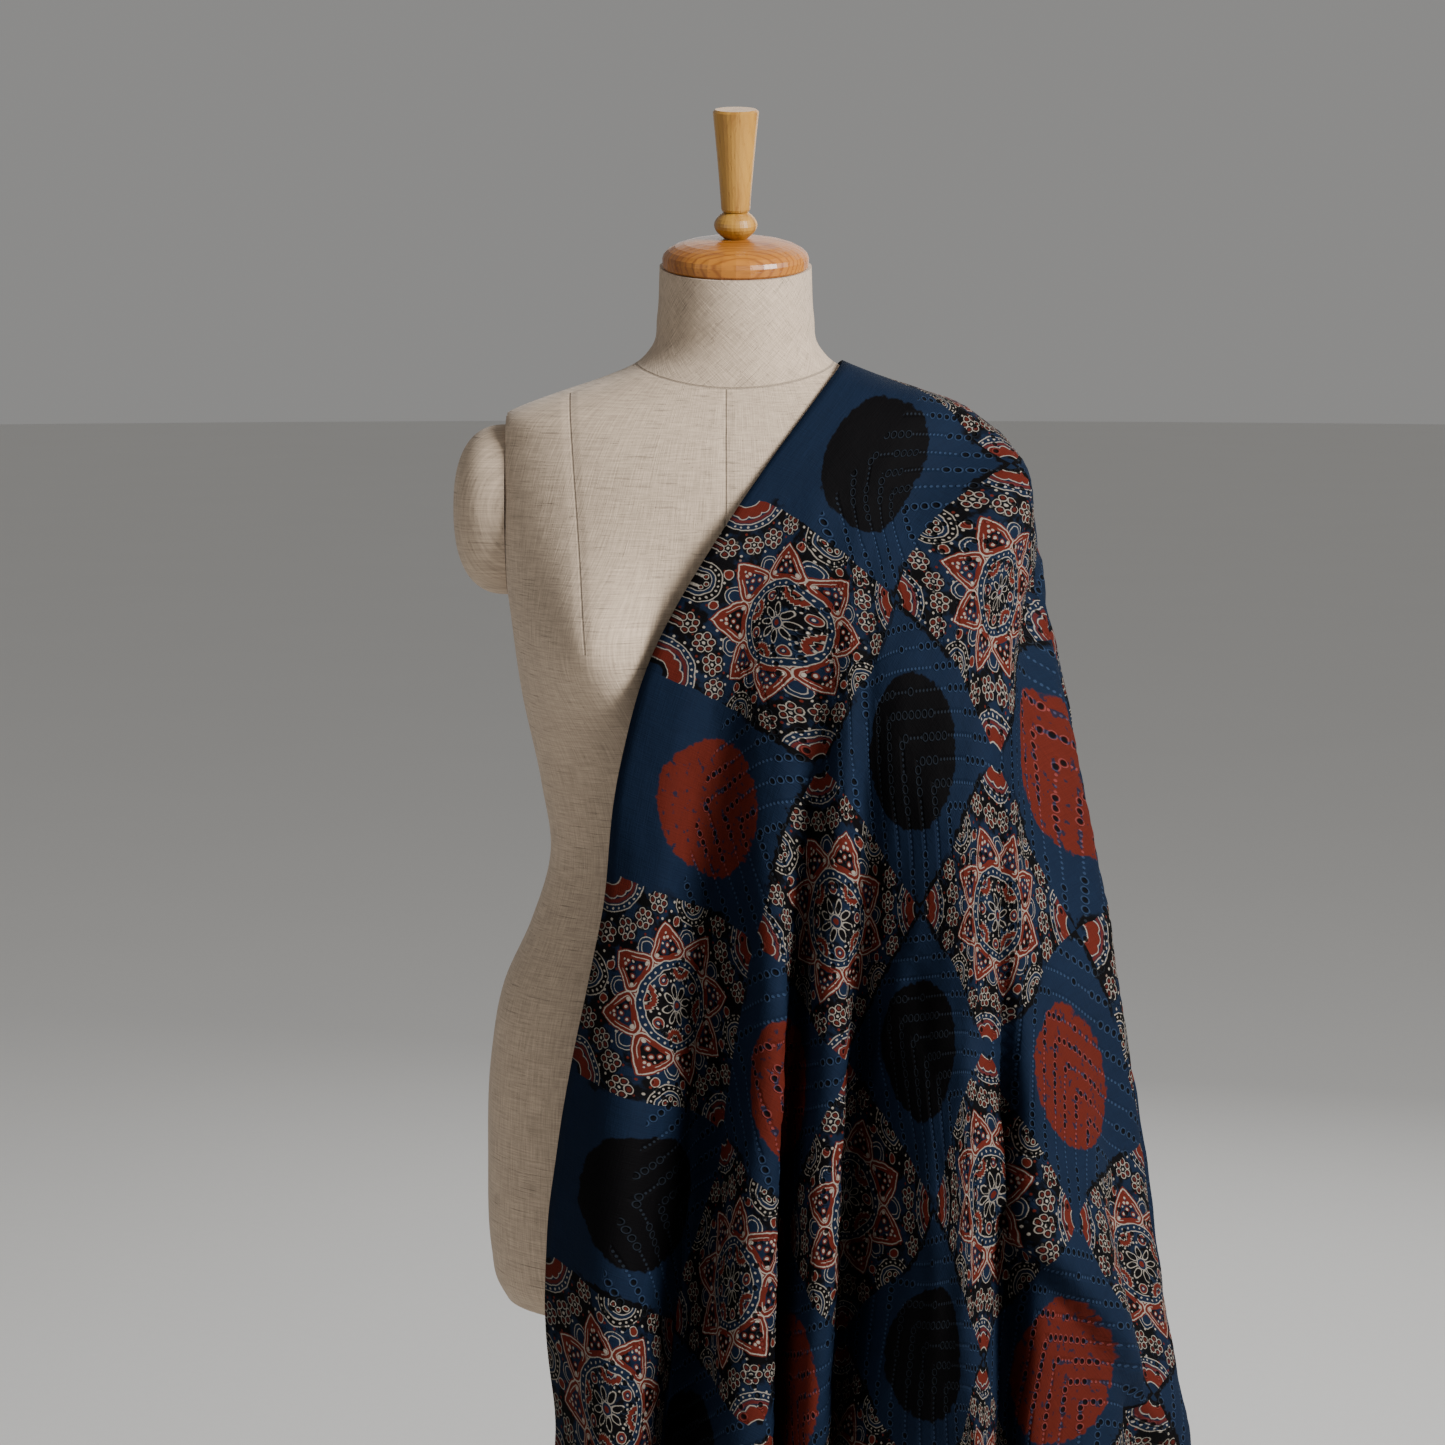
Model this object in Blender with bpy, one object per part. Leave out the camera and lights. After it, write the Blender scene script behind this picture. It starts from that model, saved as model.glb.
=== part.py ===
"""A length of block-printed ajrakh cloth draped over one shoulder of a dress form.

The form is a linen-covered torso with two arm caps, a wooden cap, collar and handle on
the neck, and a pole on a round base. The cloth is one rectangular sheet. It crosses the
shoulder, and its folds fan out from there down the front, the side and the back.

Metres, +Z up, the front faces -Y. The origin is under the middle of the base.
"""

import math

import bmesh
import bpy
import numpy as np
from mathutils import Vector
from mathutils.bvhtree import BVHTree

# Gap that touching pieces keep
SEAT_GAP = 0.0003

# Cloth, as it was woven and cut
CLOTH_WIDTH = 1.118
CLOTH_LENGTH = 1.830
CLOTH_THICKNESS = 0.002
SQUARES_ACROSS = 8
SQUARE = CLOTH_WIDTH / SQUARES_ACROSS
HALF_LENGTH = CLOTH_LENGTH / 2 / SQUARE
CLOTH_CLEARANCE = 0.0060
SEAT_SEARCH = 0.03
COLUMNS_PER_FOLD = 3
ROWS_DOWN = 21
ROW_SPREAD = 1.45
PATH_SAMPLES = 240
PATH_REACH = 1.50

# Torso, a stack of rounded sections: height, half width, front, back, squareness
TORSO_SECTIONS = (
    (0.838, 0.1600, 0.096, 0.100, 2.3),
    (0.850, 0.1665, 0.102, 0.108, 2.3),
    (0.870, 0.1700, 0.106, 0.114, 2.3),
    (0.937, 0.1720, 0.108, 0.118, 2.3),
    (1.009, 0.1690, 0.106, 0.115, 2.3),
    (1.058, 0.1600, 0.099, 0.101, 2.3),
    (1.101, 0.1410, 0.090, 0.085, 2.3),
    (1.150, 0.1272, 0.084, 0.075, 2.3),
    (1.199, 0.1331, 0.088, 0.078, 2.4),
    (1.261, 0.1456, 0.099, 0.088, 2.5),
    (1.327, 0.1545, 0.104, 0.100, 2.5),
    (1.390, 0.1640, 0.093, 0.100, 2.4),
    (1.430, 0.1620, 0.080, 0.090, 2.3),
    (1.450, 0.1560, 0.070, 0.078, 2.2),
    (1.465, 0.1190, 0.063, 0.067, 2.1),
    (1.474, 0.0920, 0.060, 0.060, 2.0),
    (1.483, 0.0700, 0.058, 0.054, 2.0),
    (1.495, 0.0570, 0.057, 0.048, 2.0),
    (1.515, 0.0530, 0.059, 0.044, 2.0),
    (1.548, 0.0512, 0.0608, 0.041, 2.0),
)
TORSO_LEVELS = 38
TORSO_SIDES = 44
BUST_SIDE = 0.100
BUST_HEIGHT = 1.298
BUST_RISE = 0.043
BUST_WIDTH = 0.046
BUST_DROP = 0.050
NECK_LEAN = math.radians(9.5)
NECK_LEAN_START = 1.495

# Arm caps, half domes on flat armholes
ARMHOLE_X = 0.1545
ARMHOLE_BOTTOM = 1.30
ARM_HEIGHT = 1.385
ARM_HALF_HEIGHT = 0.0578
ARM_HALF_DEPTH = 0.0430
ARM_REACH = 0.0368
ARM_ROUNDNESS = 2.5
ARM_SIDES = 28
ARM_RINGS = 6

# Wood on the neck
WOOD_SIDES = 32
NECK_TOP = 1.548
NECK_MIDDLE_Y = -0.0098
CAP_RADIUS = 0.0492
CAP_EDGE = 0.0065
CAP_HEIGHT = 0.0195
CAP_SEAT_RADIUS = 0.0105
KNOB_RADIUS = 0.0146
KNOB_HEIGHT = 0.0178
HANDLE_FOOT_RADIUS = 0.0097
HANDLE_TOP_RADIUS = 0.0153
HANDLE_HEIGHT = 0.0675
HANDLE_ROUND = 0.0015

# Stand
POLE_RADIUS = 0.0160
POLE_SIDES = 32
BASE_RADIUS = 0.2000
BASE_HEIGHT = 0.0260
BASE_SIDES = 48

# Line of the shoulder that carries the cloth: places x, z under it
RIDGE = (
    (0.0600, 1.4900),
    (0.0720, 1.4840),
    (0.0920, 1.4760),
    (0.1190, 1.4670),
    (0.1450, 1.4590),
    (0.1620, 1.4520),
    (0.1760, 1.4410),
    (0.1870, 1.4240),
    (0.1925, 1.4020),
    (0.1935, 1.3800),
)
RIDGE_START_X = 0.0690

# Heights at which the fold lines are placed
CHEST, BUST, WAIST, HIP, THIGH, HEM = 1.40, 1.30, 1.10, 0.93, 0.78, 0.30

# Fold lines. The first columns are the place where the line leaves the shoulder, in squares
# from the neck, and its lean in degrees from the selvedge. The other columns are its x and y
# at the six heights. A line that leaves the arm has no place at chest height.
FRONT_LINES = (
    ("edge", 0.00, 0.0, (0.003, -0.100), (-0.056, -0.128), (-0.093, -0.132),
     (-0.124, -0.142), (-0.120, -0.146), (-0.115, -0.146)),
    ("soft crest", 0.01, 5.0, (0.014, -0.100), (-0.030, -0.131), (-0.056, -0.148),
     (-0.078, -0.178), (-0.081, -0.186), (-0.078, -0.190)),
    ("first valley", 0.08, 10.0, (0.032, -0.098), (-0.001, -0.126), (-0.020, -0.118),
     (-0.032, -0.118), (-0.048, -0.116), (-0.052, -0.114)),
    ("first crest", 0.18, 16.0, (0.050, -0.097), (0.021, -0.136), (0.021, -0.166),
     (0.004, -0.186), (-0.009, -0.196), (-0.018, -0.204)),
    ("first brow", 0.20, 19.5, (0.060, -0.095), (0.041, -0.140), (0.032, -0.166),
     (0.021, -0.184), (0.014, -0.194), (0.008, -0.200)),
    ("second valley", 0.22, 21.0, (0.068, -0.093), (0.055, -0.139), (0.039, -0.136),
     (0.027, -0.134), (0.020, -0.132), (0.014, -0.130)),
    ("second crest", 0.26, 24.8, (0.078, -0.091), (0.070, -0.147), (0.055, -0.172),
     (0.043, -0.188), (0.038, -0.196), (0.032, -0.204)),
    ("second brow", 0.30, 28.0, (0.086, -0.089), (0.078, -0.149), (0.069, -0.176),
     (0.060, -0.192), (0.052, -0.200), (0.048, -0.206)),
    ("third valley", 0.34, 29.3, (0.093, -0.086), (0.087, -0.146), (0.078, -0.142),
     (0.070, -0.132), (0.061, -0.132), (0.056, -0.132)),
    ("tuck", 0.55, 33.0, (0.118, -0.076), (0.105, -0.150), (0.104, -0.168),
     (0.105, -0.205), (0.085, -0.198), (0.080, -0.200)),
    ("third crest", 0.80, 37.5, None, (0.140, -0.146), (0.140, -0.190),
     (0.137, -0.232), (0.144, -0.240), (0.150, -0.252)),
    ("third brow", 1.00, 41.0, None, (0.162, -0.137), (0.157, -0.184),
     (0.152, -0.224), (0.157, -0.232), (0.172, -0.242)),
    ("fourth valley", 1.06, 43.5, None, (0.175, -0.122), (0.169, -0.158),
     (0.173, -0.170), (0.174, -0.178), (0.192, -0.184)),
    ("fourth crest", 1.10, 46.5, None, (0.181, -0.116), (0.183, -0.168),
     (0.194, -0.202), (0.190, -0.212), (0.214, -0.230)),
    ("fourth brow", 1.10, 55.0, None, (0.184, -0.107), (0.204, -0.147),
     (0.229, -0.180), (0.240, -0.188), (0.268, -0.204)),
    ("fifth valley", 1.10, 60.0, None, (0.192, -0.088), (0.222, -0.118),
     (0.245, -0.138), (0.260, -0.144), (0.285, -0.150)),
    ("rim", 1.10, 66.0, None, (0.212, -0.060), (0.253, -0.076),
     (0.278, -0.088), (0.300, -0.094), (0.340, -0.104)),
    ("side valley", 1.10, 74.0, None, (0.211, -0.034), (0.232, -0.048),
     (0.252, -0.054), (0.268, -0.058), (0.296, -0.060)),
    ("side crest", 1.10, 82.0, None, (0.217, -0.016), (0.254, -0.022),
     (0.285, -0.026), (0.304, -0.028), (0.344, -0.032)),
    ("side line", 1.10, 90.0, None, (0.212, 0.000), (0.238, 0.000),
     (0.262, 0.000), (0.276, 0.000), (0.300, 0.000)),
)
# The back has the same starts and leans, so it holds places only, without the side line
BACK_LINES = (
    ("edge", (0.020, 0.108), (-0.020, 0.110), (-0.060, 0.116),
     (-0.090, 0.140), (-0.100, 0.142), (-0.105, 0.142)),
    ("soft crest", (0.028, 0.108), (-0.008, 0.112), (-0.038, 0.130),
     (-0.062, 0.168), (-0.072, 0.176), (-0.078, 0.180)),
    ("first valley", (0.040, 0.107), (0.014, 0.109), (-0.010, 0.110),
     (-0.030, 0.132), (-0.042, 0.132), (-0.048, 0.132)),
    ("first crest", (0.052, 0.105), (0.030, 0.113), (0.014, 0.142),
     (0.000, 0.184), (-0.010, 0.196), (-0.020, 0.204)),
    ("first brow", (0.061, 0.103), (0.044, 0.113), (0.030, 0.142),
     (0.020, 0.180), (0.014, 0.192), (0.006, 0.200)),
    ("second valley", (0.069, 0.101), (0.056, 0.109), (0.042, 0.118),
     (0.034, 0.140), (0.028, 0.142), (0.022, 0.142)),
    ("second crest", (0.079, 0.099), (0.070, 0.111), (0.060, 0.146),
     (0.052, 0.184), (0.048, 0.196), (0.042, 0.206)),
    ("second brow", (0.087, 0.097), (0.081, 0.111), (0.074, 0.146),
     (0.070, 0.184), (0.066, 0.196), (0.060, 0.208)),
    ("third valley", (0.094, 0.095), (0.090, 0.107), (0.086, 0.120),
     (0.084, 0.146), (0.080, 0.148), (0.076, 0.148)),
    ("tuck", (0.112, 0.088), (0.108, 0.107), (0.108, 0.140),
     (0.108, 0.176), (0.106, 0.188), (0.100, 0.200)),
    ("third crest", None, (0.134, 0.104), (0.138, 0.150),
     (0.140, 0.190), (0.146, 0.206), (0.150, 0.226)),
    ("third brow", None, (0.150, 0.096), (0.156, 0.142),
     (0.160, 0.180), (0.166, 0.194), (0.176, 0.212)),
    ("fourth valley", None, (0.162, 0.086), (0.170, 0.114),
     (0.176, 0.134), (0.182, 0.142), (0.196, 0.148)),
    ("fourth crest", None, (0.172, 0.082), (0.186, 0.124),
     (0.196, 0.160), (0.204, 0.176), (0.220, 0.196)),
    ("fourth brow", None, (0.183, 0.074), (0.204, 0.112),
     (0.218, 0.144), (0.228, 0.158), (0.250, 0.178)),
    ("fifth valley", None, (0.194, 0.060), (0.216, 0.086),
     (0.232, 0.102), (0.244, 0.110), (0.268, 0.118)),
    ("rim", None, (0.206, 0.046), (0.242, 0.074),
     (0.264, 0.098), (0.280, 0.108), (0.310, 0.122)),
    ("side valley", None, (0.209, 0.029), (0.234, 0.044),
     (0.248, 0.053), (0.262, 0.058), (0.288, 0.062)),
    ("side crest", None, (0.217, 0.015), (0.254, 0.023),
     (0.288, 0.030), (0.308, 0.034), (0.346, 0.040)),
)


def smooth_through(places, values, wanted):
    """Cubic curve through the values at the places, with its slopes from the neighbours."""
    places = np.asarray(places, float)
    values = np.asarray(values, float)
    slopes = np.gradient(values, places, axis=0)
    index = np.clip(np.searchsorted(places, wanted, side="right") - 1, 0, len(places) - 2)
    span = places[index + 1] - places[index]
    part = (wanted - places[index]) / span
    if values.ndim > 1:
        span = span[:, None]
        part = part[:, None]
    square, cube = part**2, part**3
    return (
        (2 * cube - 3 * square + 1) * values[index]
        + (cube - 2 * square + part) * span * slopes[index]
        + (3 * square - 2 * cube) * values[index + 1]
        + (cube - square) * span * slopes[index + 1]
    )


def torso_section(height):
    """Half width, front, back and squareness of the torso at each height."""
    table = np.array(TORSO_SECTIONS)
    height = np.clip(height, table[0, 0], table[-1, 0])
    return [smooth_through(table[:, 0], table[:, column], height) for column in range(1, 5)]


def bust_rise(x, height):
    """How far the bust stands forward of the plain section."""
    side = (np.abs(x) - BUST_SIDE) / BUST_WIDTH
    drop = (height - BUST_HEIGHT) / BUST_DROP
    return BUST_RISE * np.exp(-(side**2) - drop**2)


def torso_ring(height, count):
    """One level of the torso as x, y and z, counter-clockwise from +X."""
    turn = 2 * math.pi * np.arange(count) / count
    half, front, back, squareness = (float(v[0]) for v in torso_section(np.array([height])))
    power = 2 / squareness
    x = half * np.sign(np.cos(turn)) * np.abs(np.cos(turn)) ** power
    y = np.sign(np.sin(turn)) * np.abs(np.sin(turn)) ** power
    y = np.where(y < 0, y * front, y * back)
    y = y - bust_rise(x, height) * np.sin(np.clip(-y / front, 0, 1) * math.pi / 2)
    lean = max(0.0, (height - NECK_LEAN_START) / (NECK_TOP - NECK_LEAN_START))
    z = height + math.tan(NECK_LEAN) * (y - NECK_MIDDLE_Y) * lean
    if height > ARMHOLE_BOTTOM:
        x = np.clip(x, -ARMHOLE_X, ARMHOLE_X)
    return np.column_stack((x, y, z))


def torso_distance(points):
    """Rough distance of points from the torso, negative inside it."""
    def level(p):
        half, front, back, squareness = torso_section(p[:, 2])
        x = np.abs(p[:, 0]) / half
        rise = bust_rise(p[:, 0], p[:, 2]) * np.clip(-2 * p[:, 1] / front, 0, 1)
        y = p[:, 1] + rise
        y = np.abs(y) / np.where(p[:, 1] < 0, front, back)
        return (x**squareness + y**squareness) ** (1 / squareness) - 1
    return from_level(level, points)


def arm_distance(points):
    """Rough distance of points from the left arm cap, negative inside it."""
    def level(p):
        out = np.maximum(p[:, 0] - ARMHOLE_X, 0) / ARM_REACH
        up = np.abs(p[:, 2] - ARM_HEIGHT) / ARM_HALF_HEIGHT
        across = np.abs(p[:, 1]) / ARM_HALF_DEPTH
        round_part = (up**2 + across**2) ** (ARM_ROUNDNESS / 2)
        return (out**ARM_ROUNDNESS + round_part) ** (1 / ARM_ROUNDNESS) - 1
    return from_level(level, points)


def from_level(level, points):
    """Distance and outward direction from a function that is 0 on a surface."""
    step = 0.0008
    value = level(points)
    slope = np.empty_like(points)
    for axis in range(3):
        shift = np.zeros(3)
        shift[axis] = step
        slope[:, axis] = (level(points + shift) - level(points - shift)) / (2 * step)
    size = np.linalg.norm(slope, axis=1) + 1e-9
    return value / size, slope / size[:, None]


def push_clear(points, clearance):
    """Moves points outwards until they clear the torso and the arm cap."""
    points = points.copy()
    for _ in range(6):
        for measure in (torso_distance, arm_distance):
            distance, outward = measure(points)
            short = np.clip(clearance - distance, 0, 0.03)
            points += outward * short[:, None]
    return points


def ridge_place(squares):
    """Place and direction on the shoulder line, at squares of cloth from the neck."""
    table = np.array(RIDGE)
    x = smooth_through(np.arange(len(table)), table[:, 0], np.linspace(0, len(table) - 1, 400))
    z = smooth_through(np.arange(len(table)), table[:, 1], np.linspace(0, len(table) - 1, 400))
    run = np.concatenate(([0], np.cumsum(np.hypot(np.diff(x), np.diff(z)))))
    run -= np.interp(RIDGE_START_X, x, run)
    ahead = 0.004
    here = np.array([np.interp(squares * SQUARE, run, x), 0, np.interp(squares * SQUARE, run, z)])
    there = squares * SQUARE + ahead
    there = np.array([np.interp(there, run, x), 0, np.interp(there, run, z)])
    along = (there - here) / np.linalg.norm(there - here)
    return here, along


def fold_path(start, lean, places, front):
    """A fold line as points at equal steps of cloth, from the shoulder to past the hem."""
    here, along = ridge_place(start)
    away = np.array([0, -1.0 if front else 1.0, 0])
    leave = math.cos(lean) * away + math.sin(lean) * along
    knots = [here, here + leave * 0.022]
    heights = (CHEST, BUST, WAIST, HIP, THIGH, HEM)
    for place, height in zip(places, heights):
        if place is not None:
            knots.append(np.array([place[0], place[1], height]))
    knots = np.array(knots)
    reach = np.concatenate(([0], np.cumsum(np.linalg.norm(np.diff(knots, axis=0), axis=1))))
    fine = smooth_through(reach, knots, np.linspace(0, reach[-1], 3 * PATH_SAMPLES))
    fine = push_clear(fine, CLOTH_CLEARANCE)
    run = np.concatenate(([0], np.cumsum(np.linalg.norm(np.diff(fine, axis=0), axis=1))))
    wanted = np.linspace(0, PATH_REACH, PATH_SAMPLES)
    path = np.column_stack([np.interp(wanted, run, fine[:, axis]) for axis in range(3)])
    fall = (knots[-1] - knots[-2]) / np.linalg.norm(knots[-1] - knots[-2])
    path += np.maximum(wanted - run[-1], 0)[:, None] * fall
    return path


def cloth_lines():
    """Starts, leans and paths of all fold lines, front edge to side line to back edge."""
    starts, leans, paths = [], [], []
    for name, start, lean, *places in FRONT_LINES:
        starts.append(start)
        leans.append(math.radians(lean))
        paths.append(fold_path(start, leans[-1], places, True))
    for row, (name, *places) in reversed(list(enumerate(BACK_LINES))):
        start, lean = FRONT_LINES[row][1:3]
        starts.append(start)
        leans.append(math.pi - math.radians(lean))
        paths.append(fold_path(start, math.radians(lean), places, False))
    return np.array(starts), np.array(leans), np.array(paths)


def between_lines(values, position):
    """Values between the fold lines, by a smooth curve through the nearest four."""
    last = len(values) - 1
    index = np.clip(np.floor(position).astype(int), 0, last - 1)
    part = position - index
    weights = (
        -0.5 * part + part**2 - 0.5 * part**3,
        1 - 2.5 * part**2 + 1.5 * part**3,
        0.5 * part + 2 * part**2 - 1.5 * part**3,
        -0.5 * part**2 + 0.5 * part**3,
    )
    total = 0
    for offset, weight in zip((-1, 0, 1, 2), weights):
        near = values[np.clip(index + offset, 0, last)]
        total = total + near * weight.reshape(weight.shape + (1,) * (near.ndim - weight.ndim))
    return total


def cloth_grid():
    """Middle surface of the cloth: columns along the fold lines, rows down to the hem."""
    starts, leans, paths = cloth_lines()
    columns = (len(starts) - 1) * COLUMNS_PER_FOLD + 1
    position = np.linspace(0, len(starts) - 1, columns)
    start = np.clip(between_lines(starts, position), 0, None)
    lean = np.clip(between_lines(leans, position), 0, math.pi)
    lengthwise = HALF_LENGTH / np.maximum(np.abs(np.cos(lean)), 1e-6)
    crosswise = (SQUARES_ACROSS - start) / np.maximum(np.sin(lean), 1e-6)
    reach = np.minimum(lengthwise, crosswise) * SQUARE
    lines = between_lines(paths, position)
    down = (np.arange(ROWS_DOWN + 1) / ROWS_DOWN) ** ROW_SPREAD
    grid = np.empty((columns, ROWS_DOWN + 1, 3))
    travel = np.linspace(0, PATH_REACH, PATH_SAMPLES)
    for column in range(columns):
        for axis in range(3):
            grid[column, :, axis] = np.interp(down * reach[column], travel, lines[column, :, axis])
    flat = push_clear(grid.reshape(-1, 3), CLOTH_CLEARANCE)
    return flat.reshape(grid.shape)


def new_material(name, colour, roughness, metallic):
    """Material with one plain finish."""
    material = bpy.data.materials.new(name)
    material.use_nodes = True
    shader = material.node_tree.nodes["Principled BSDF"]
    shader.inputs["Base Color"].default_value = (*colour, 1)
    shader.inputs["Roughness"].default_value = roughness
    shader.inputs["Metallic"].default_value = metallic
    return material


def new_object(name, mesh_data, material):
    """Object with a mesh made from bmesh data, with its faces turned outwards."""
    bmesh.ops.recalc_face_normals(mesh_data, faces=mesh_data.faces[:])
    mesh = bpy.data.meshes.new(name)
    mesh_data.to_mesh(mesh)
    mesh_data.free()
    mesh.shade_smooth()
    mesh.set_sharp_from_angle(angle=math.radians(35))
    mesh.materials.append(material)
    made = bpy.data.objects.new(name, mesh)
    bpy.context.scene.collection.objects.link(made)
    return made


def skin_rings(mesh_data, rings):
    """Faces between rings of vertices, and a flat face on each end."""
    for lower, upper in zip(rings[:-1], rings[1:]):
        count = len(lower)
        for side in range(count):
            ahead = (side + 1) % count
            mesh_data.faces.new((lower[side], lower[ahead], upper[ahead], upper[side]))
    mesh_data.faces.new(tuple(reversed(rings[0])))
    mesh_data.faces.new(tuple(rings[-1]))


def make_torso(material):
    """Torso and neck in one piece, from rings at equal steps along its outline."""
    mesh_data = bmesh.new()
    heights = np.linspace(TORSO_SECTIONS[0][0], NECK_TOP, 10 * TORSO_LEVELS)
    outline = torso_section(heights)[0]
    run = np.concatenate(([0], np.cumsum(np.hypot(np.diff(heights), np.diff(outline)))))
    heights = np.interp(np.linspace(0, run[-1], TORSO_LEVELS), run, heights)
    rings = []
    for height in heights:
        ring = torso_ring(float(height), TORSO_SIDES)
        rings.append([mesh_data.verts.new(point) for point in ring])
    skin_rings(mesh_data, rings)
    return new_object("torso_form", mesh_data, material)


def make_arm_cap(name, side, material):
    """Half dome whose flat face stands against the armhole."""
    mesh_data = bmesh.new()
    turn = 2 * math.pi * np.arange(ARM_SIDES) / ARM_SIDES
    rings = []
    for ring in range(ARM_RINGS):
        angle = math.pi / 2 * ring / ARM_RINGS
        shrink = math.cos(angle) ** (2 / ARM_ROUNDNESS)
        out = ARM_REACH * math.sin(angle) ** (2 / ARM_ROUNDNESS)
        x = side * (ARMHOLE_X + SEAT_GAP + out)
        y = ARM_HALF_DEPTH * shrink * np.cos(turn)
        z = ARM_HEIGHT + ARM_HALF_HEIGHT * shrink * np.sin(turn)
        rings.append([mesh_data.verts.new((x, a, b)) for a, b in zip(y, z)])
    skin_rings(mesh_data, rings)
    return new_object(name, mesh_data, material)


def make_turned(name, profile, sides, material, foot, lean):
    """Turned piece from a profile of radius and height, its foot at a place, leaning forward."""
    mesh_data = bmesh.new()
    rings = []
    for radius, height in profile:
        ring = []
        for side in range(sides):
            turn = 2 * math.pi * side / sides
            ring.append(mesh_data.verts.new((
                radius * math.cos(turn), radius * math.sin(turn), height)))
        rings.append(ring)
    skin_rings(mesh_data, rings)
    made = new_object(name, mesh_data, material)
    made.location = foot
    made.rotation_euler = (lean, 0, 0)
    return made


def arc_profile(radius, height, rings, flat_top, bulge):
    """Half of a rounded outline from full radius to a flat top."""
    points = []
    for ring in range(rings + 1):
        angle = math.pi / 2 * ring / rings
        points.append((
            flat_top + (radius - flat_top) * math.cos(angle) ** bulge,
            height * math.sin(angle),
        ))
    return points


def make_wood(wood_cap, wood_handle):
    """Cap, collar and handle, one above the other on the leaning neck."""
    up = np.array([0, -math.sin(NECK_LEAN), math.cos(NECK_LEAN)])
    foot = np.array([0, NECK_MIDDLE_Y, NECK_TOP]) + up * SEAT_GAP
    dome = arc_profile(CAP_RADIUS, CAP_HEIGHT - CAP_EDGE, 7, CAP_SEAT_RADIUS, 1.0)
    cap = [(CAP_RADIUS - 0.0012, 0.0), (CAP_RADIUS, 0.0014)]
    cap += [(radius, CAP_EDGE + height) for radius, height in dome]
    make_turned("neck_cap", cap, WOOD_SIDES, wood_cap, foot, NECK_LEAN)
    foot = foot + up * (CAP_HEIGHT + SEAT_GAP)
    knob = []
    for ring in range(9):
        angle = math.pi * (0.18 + 0.64 * ring / 8)
        knob.append((KNOB_RADIUS * math.sin(angle), KNOB_HEIGHT * ring / 8))
    make_turned("cap_knob", knob, WOOD_SIDES, wood_handle, foot, NECK_LEAN)
    foot = foot + up * (KNOB_HEIGHT + SEAT_GAP)
    handle = [(HANDLE_FOOT_RADIUS * 0.93, 0.0)]
    for ring in range(9):
        part = ring / 8
        wide = HANDLE_FOOT_RADIUS + (HANDLE_TOP_RADIUS - HANDLE_FOOT_RADIUS) * part**1.15
        handle.append((wide, HANDLE_ROUND + (HANDLE_HEIGHT - 2 * HANDLE_ROUND) * part))
    handle.append((HANDLE_TOP_RADIUS - HANDLE_ROUND, HANDLE_HEIGHT))
    make_turned("cap_handle", handle, WOOD_SIDES, wood_handle, foot, NECK_LEAN)


def make_stand(metal):
    """Pole up to the underside of the torso, and a round base on the floor."""
    top = TORSO_SECTIONS[0][0] - SEAT_GAP
    foot = BASE_HEIGHT + SEAT_GAP
    pole = ((POLE_RADIUS, 0.0), (POLE_RADIUS, top - foot))
    make_turned("stand_pole", pole, POLE_SIDES, metal, (0, 0, foot), 0)
    base = (
        (BASE_RADIUS - 0.002, 0.0),
        (BASE_RADIUS, 0.002),
        (BASE_RADIUS, BASE_HEIGHT * 0.35),
        (BASE_RADIUS * 0.985, BASE_HEIGHT * 0.55),
        (BASE_RADIUS * 0.55, BASE_HEIGHT * 0.85),
        (POLE_RADIUS * 2.2, BASE_HEIGHT),
    )
    make_turned("stand_base", base, BASE_SIDES, metal, (0, 0, 0), 0)


def make_cloth(material):
    """Cloth as a sheet with its folds, given its thickness on both sides of the middle."""
    grid = cloth_grid()
    mesh_data = bmesh.new()
    verts = [[mesh_data.verts.new(point) for point in column] for column in grid]
    for left, right in zip(verts[:-1], verts[1:]):
        for row in range(ROWS_DOWN):
            mesh_data.faces.new((left[row], left[row + 1], right[row + 1], right[row]))
    bmesh.ops.remove_doubles(mesh_data, verts=mesh_data.verts[:], dist=0.0001)
    made = new_object("cloth", mesh_data, material)
    thickness = made.modifiers.new("thickness", "SOLIDIFY")
    thickness.thickness = CLOTH_THICKNESS
    thickness.offset = 0
    return made


def lowest_gap(points, surface, direction):
    """Shortest way from the points to a surface along a direction."""
    hits = (surface.ray_cast(point, direction, SEAT_SEARCH)[3] for point in points)
    return min((hit for hit in hits if hit is not None), default=SEAT_SEARCH)


def seat_cloth(cloth, carriers):
    """Lowers the cloth onto what carries it, then lifts it until nothing touches."""
    depsgraph = bpy.context.evaluated_depsgraph_get()
    under = BVHTree.FromObject(cloth, depsgraph)
    shape = cloth.evaluated_get(depsgraph).to_mesh()
    shape.calc_loop_triangles()
    points = [vertex.co.copy() for vertex in shape.vertices]
    triangles = [tuple(triangle.vertices) for triangle in shape.loop_triangles]
    surfaces = [BVHTree.FromObject(carrier, depsgraph) for carrier in carriers]
    gap = SEAT_SEARCH
    for carrier, surface in zip(carriers, surfaces):
        corners = [vertex.co.copy() for vertex in carrier.data.vertices]
        gap = min(gap, lowest_gap(points, surface, (0, 0, -1)))
        gap = min(gap, lowest_gap(corners, under, (0, 0, 1)))
    drop = Vector((0, 0, gap))
    touching = True
    while touching:
        drop.z -= SEAT_GAP
        lowered = BVHTree.FromPolygons([point - drop for point in points], triangles)
        touching = any(lowered.overlap(surface) for surface in surfaces)
    for vertex in cloth.data.vertices:
        vertex.co.z -= drop.z - SEAT_GAP


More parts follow.
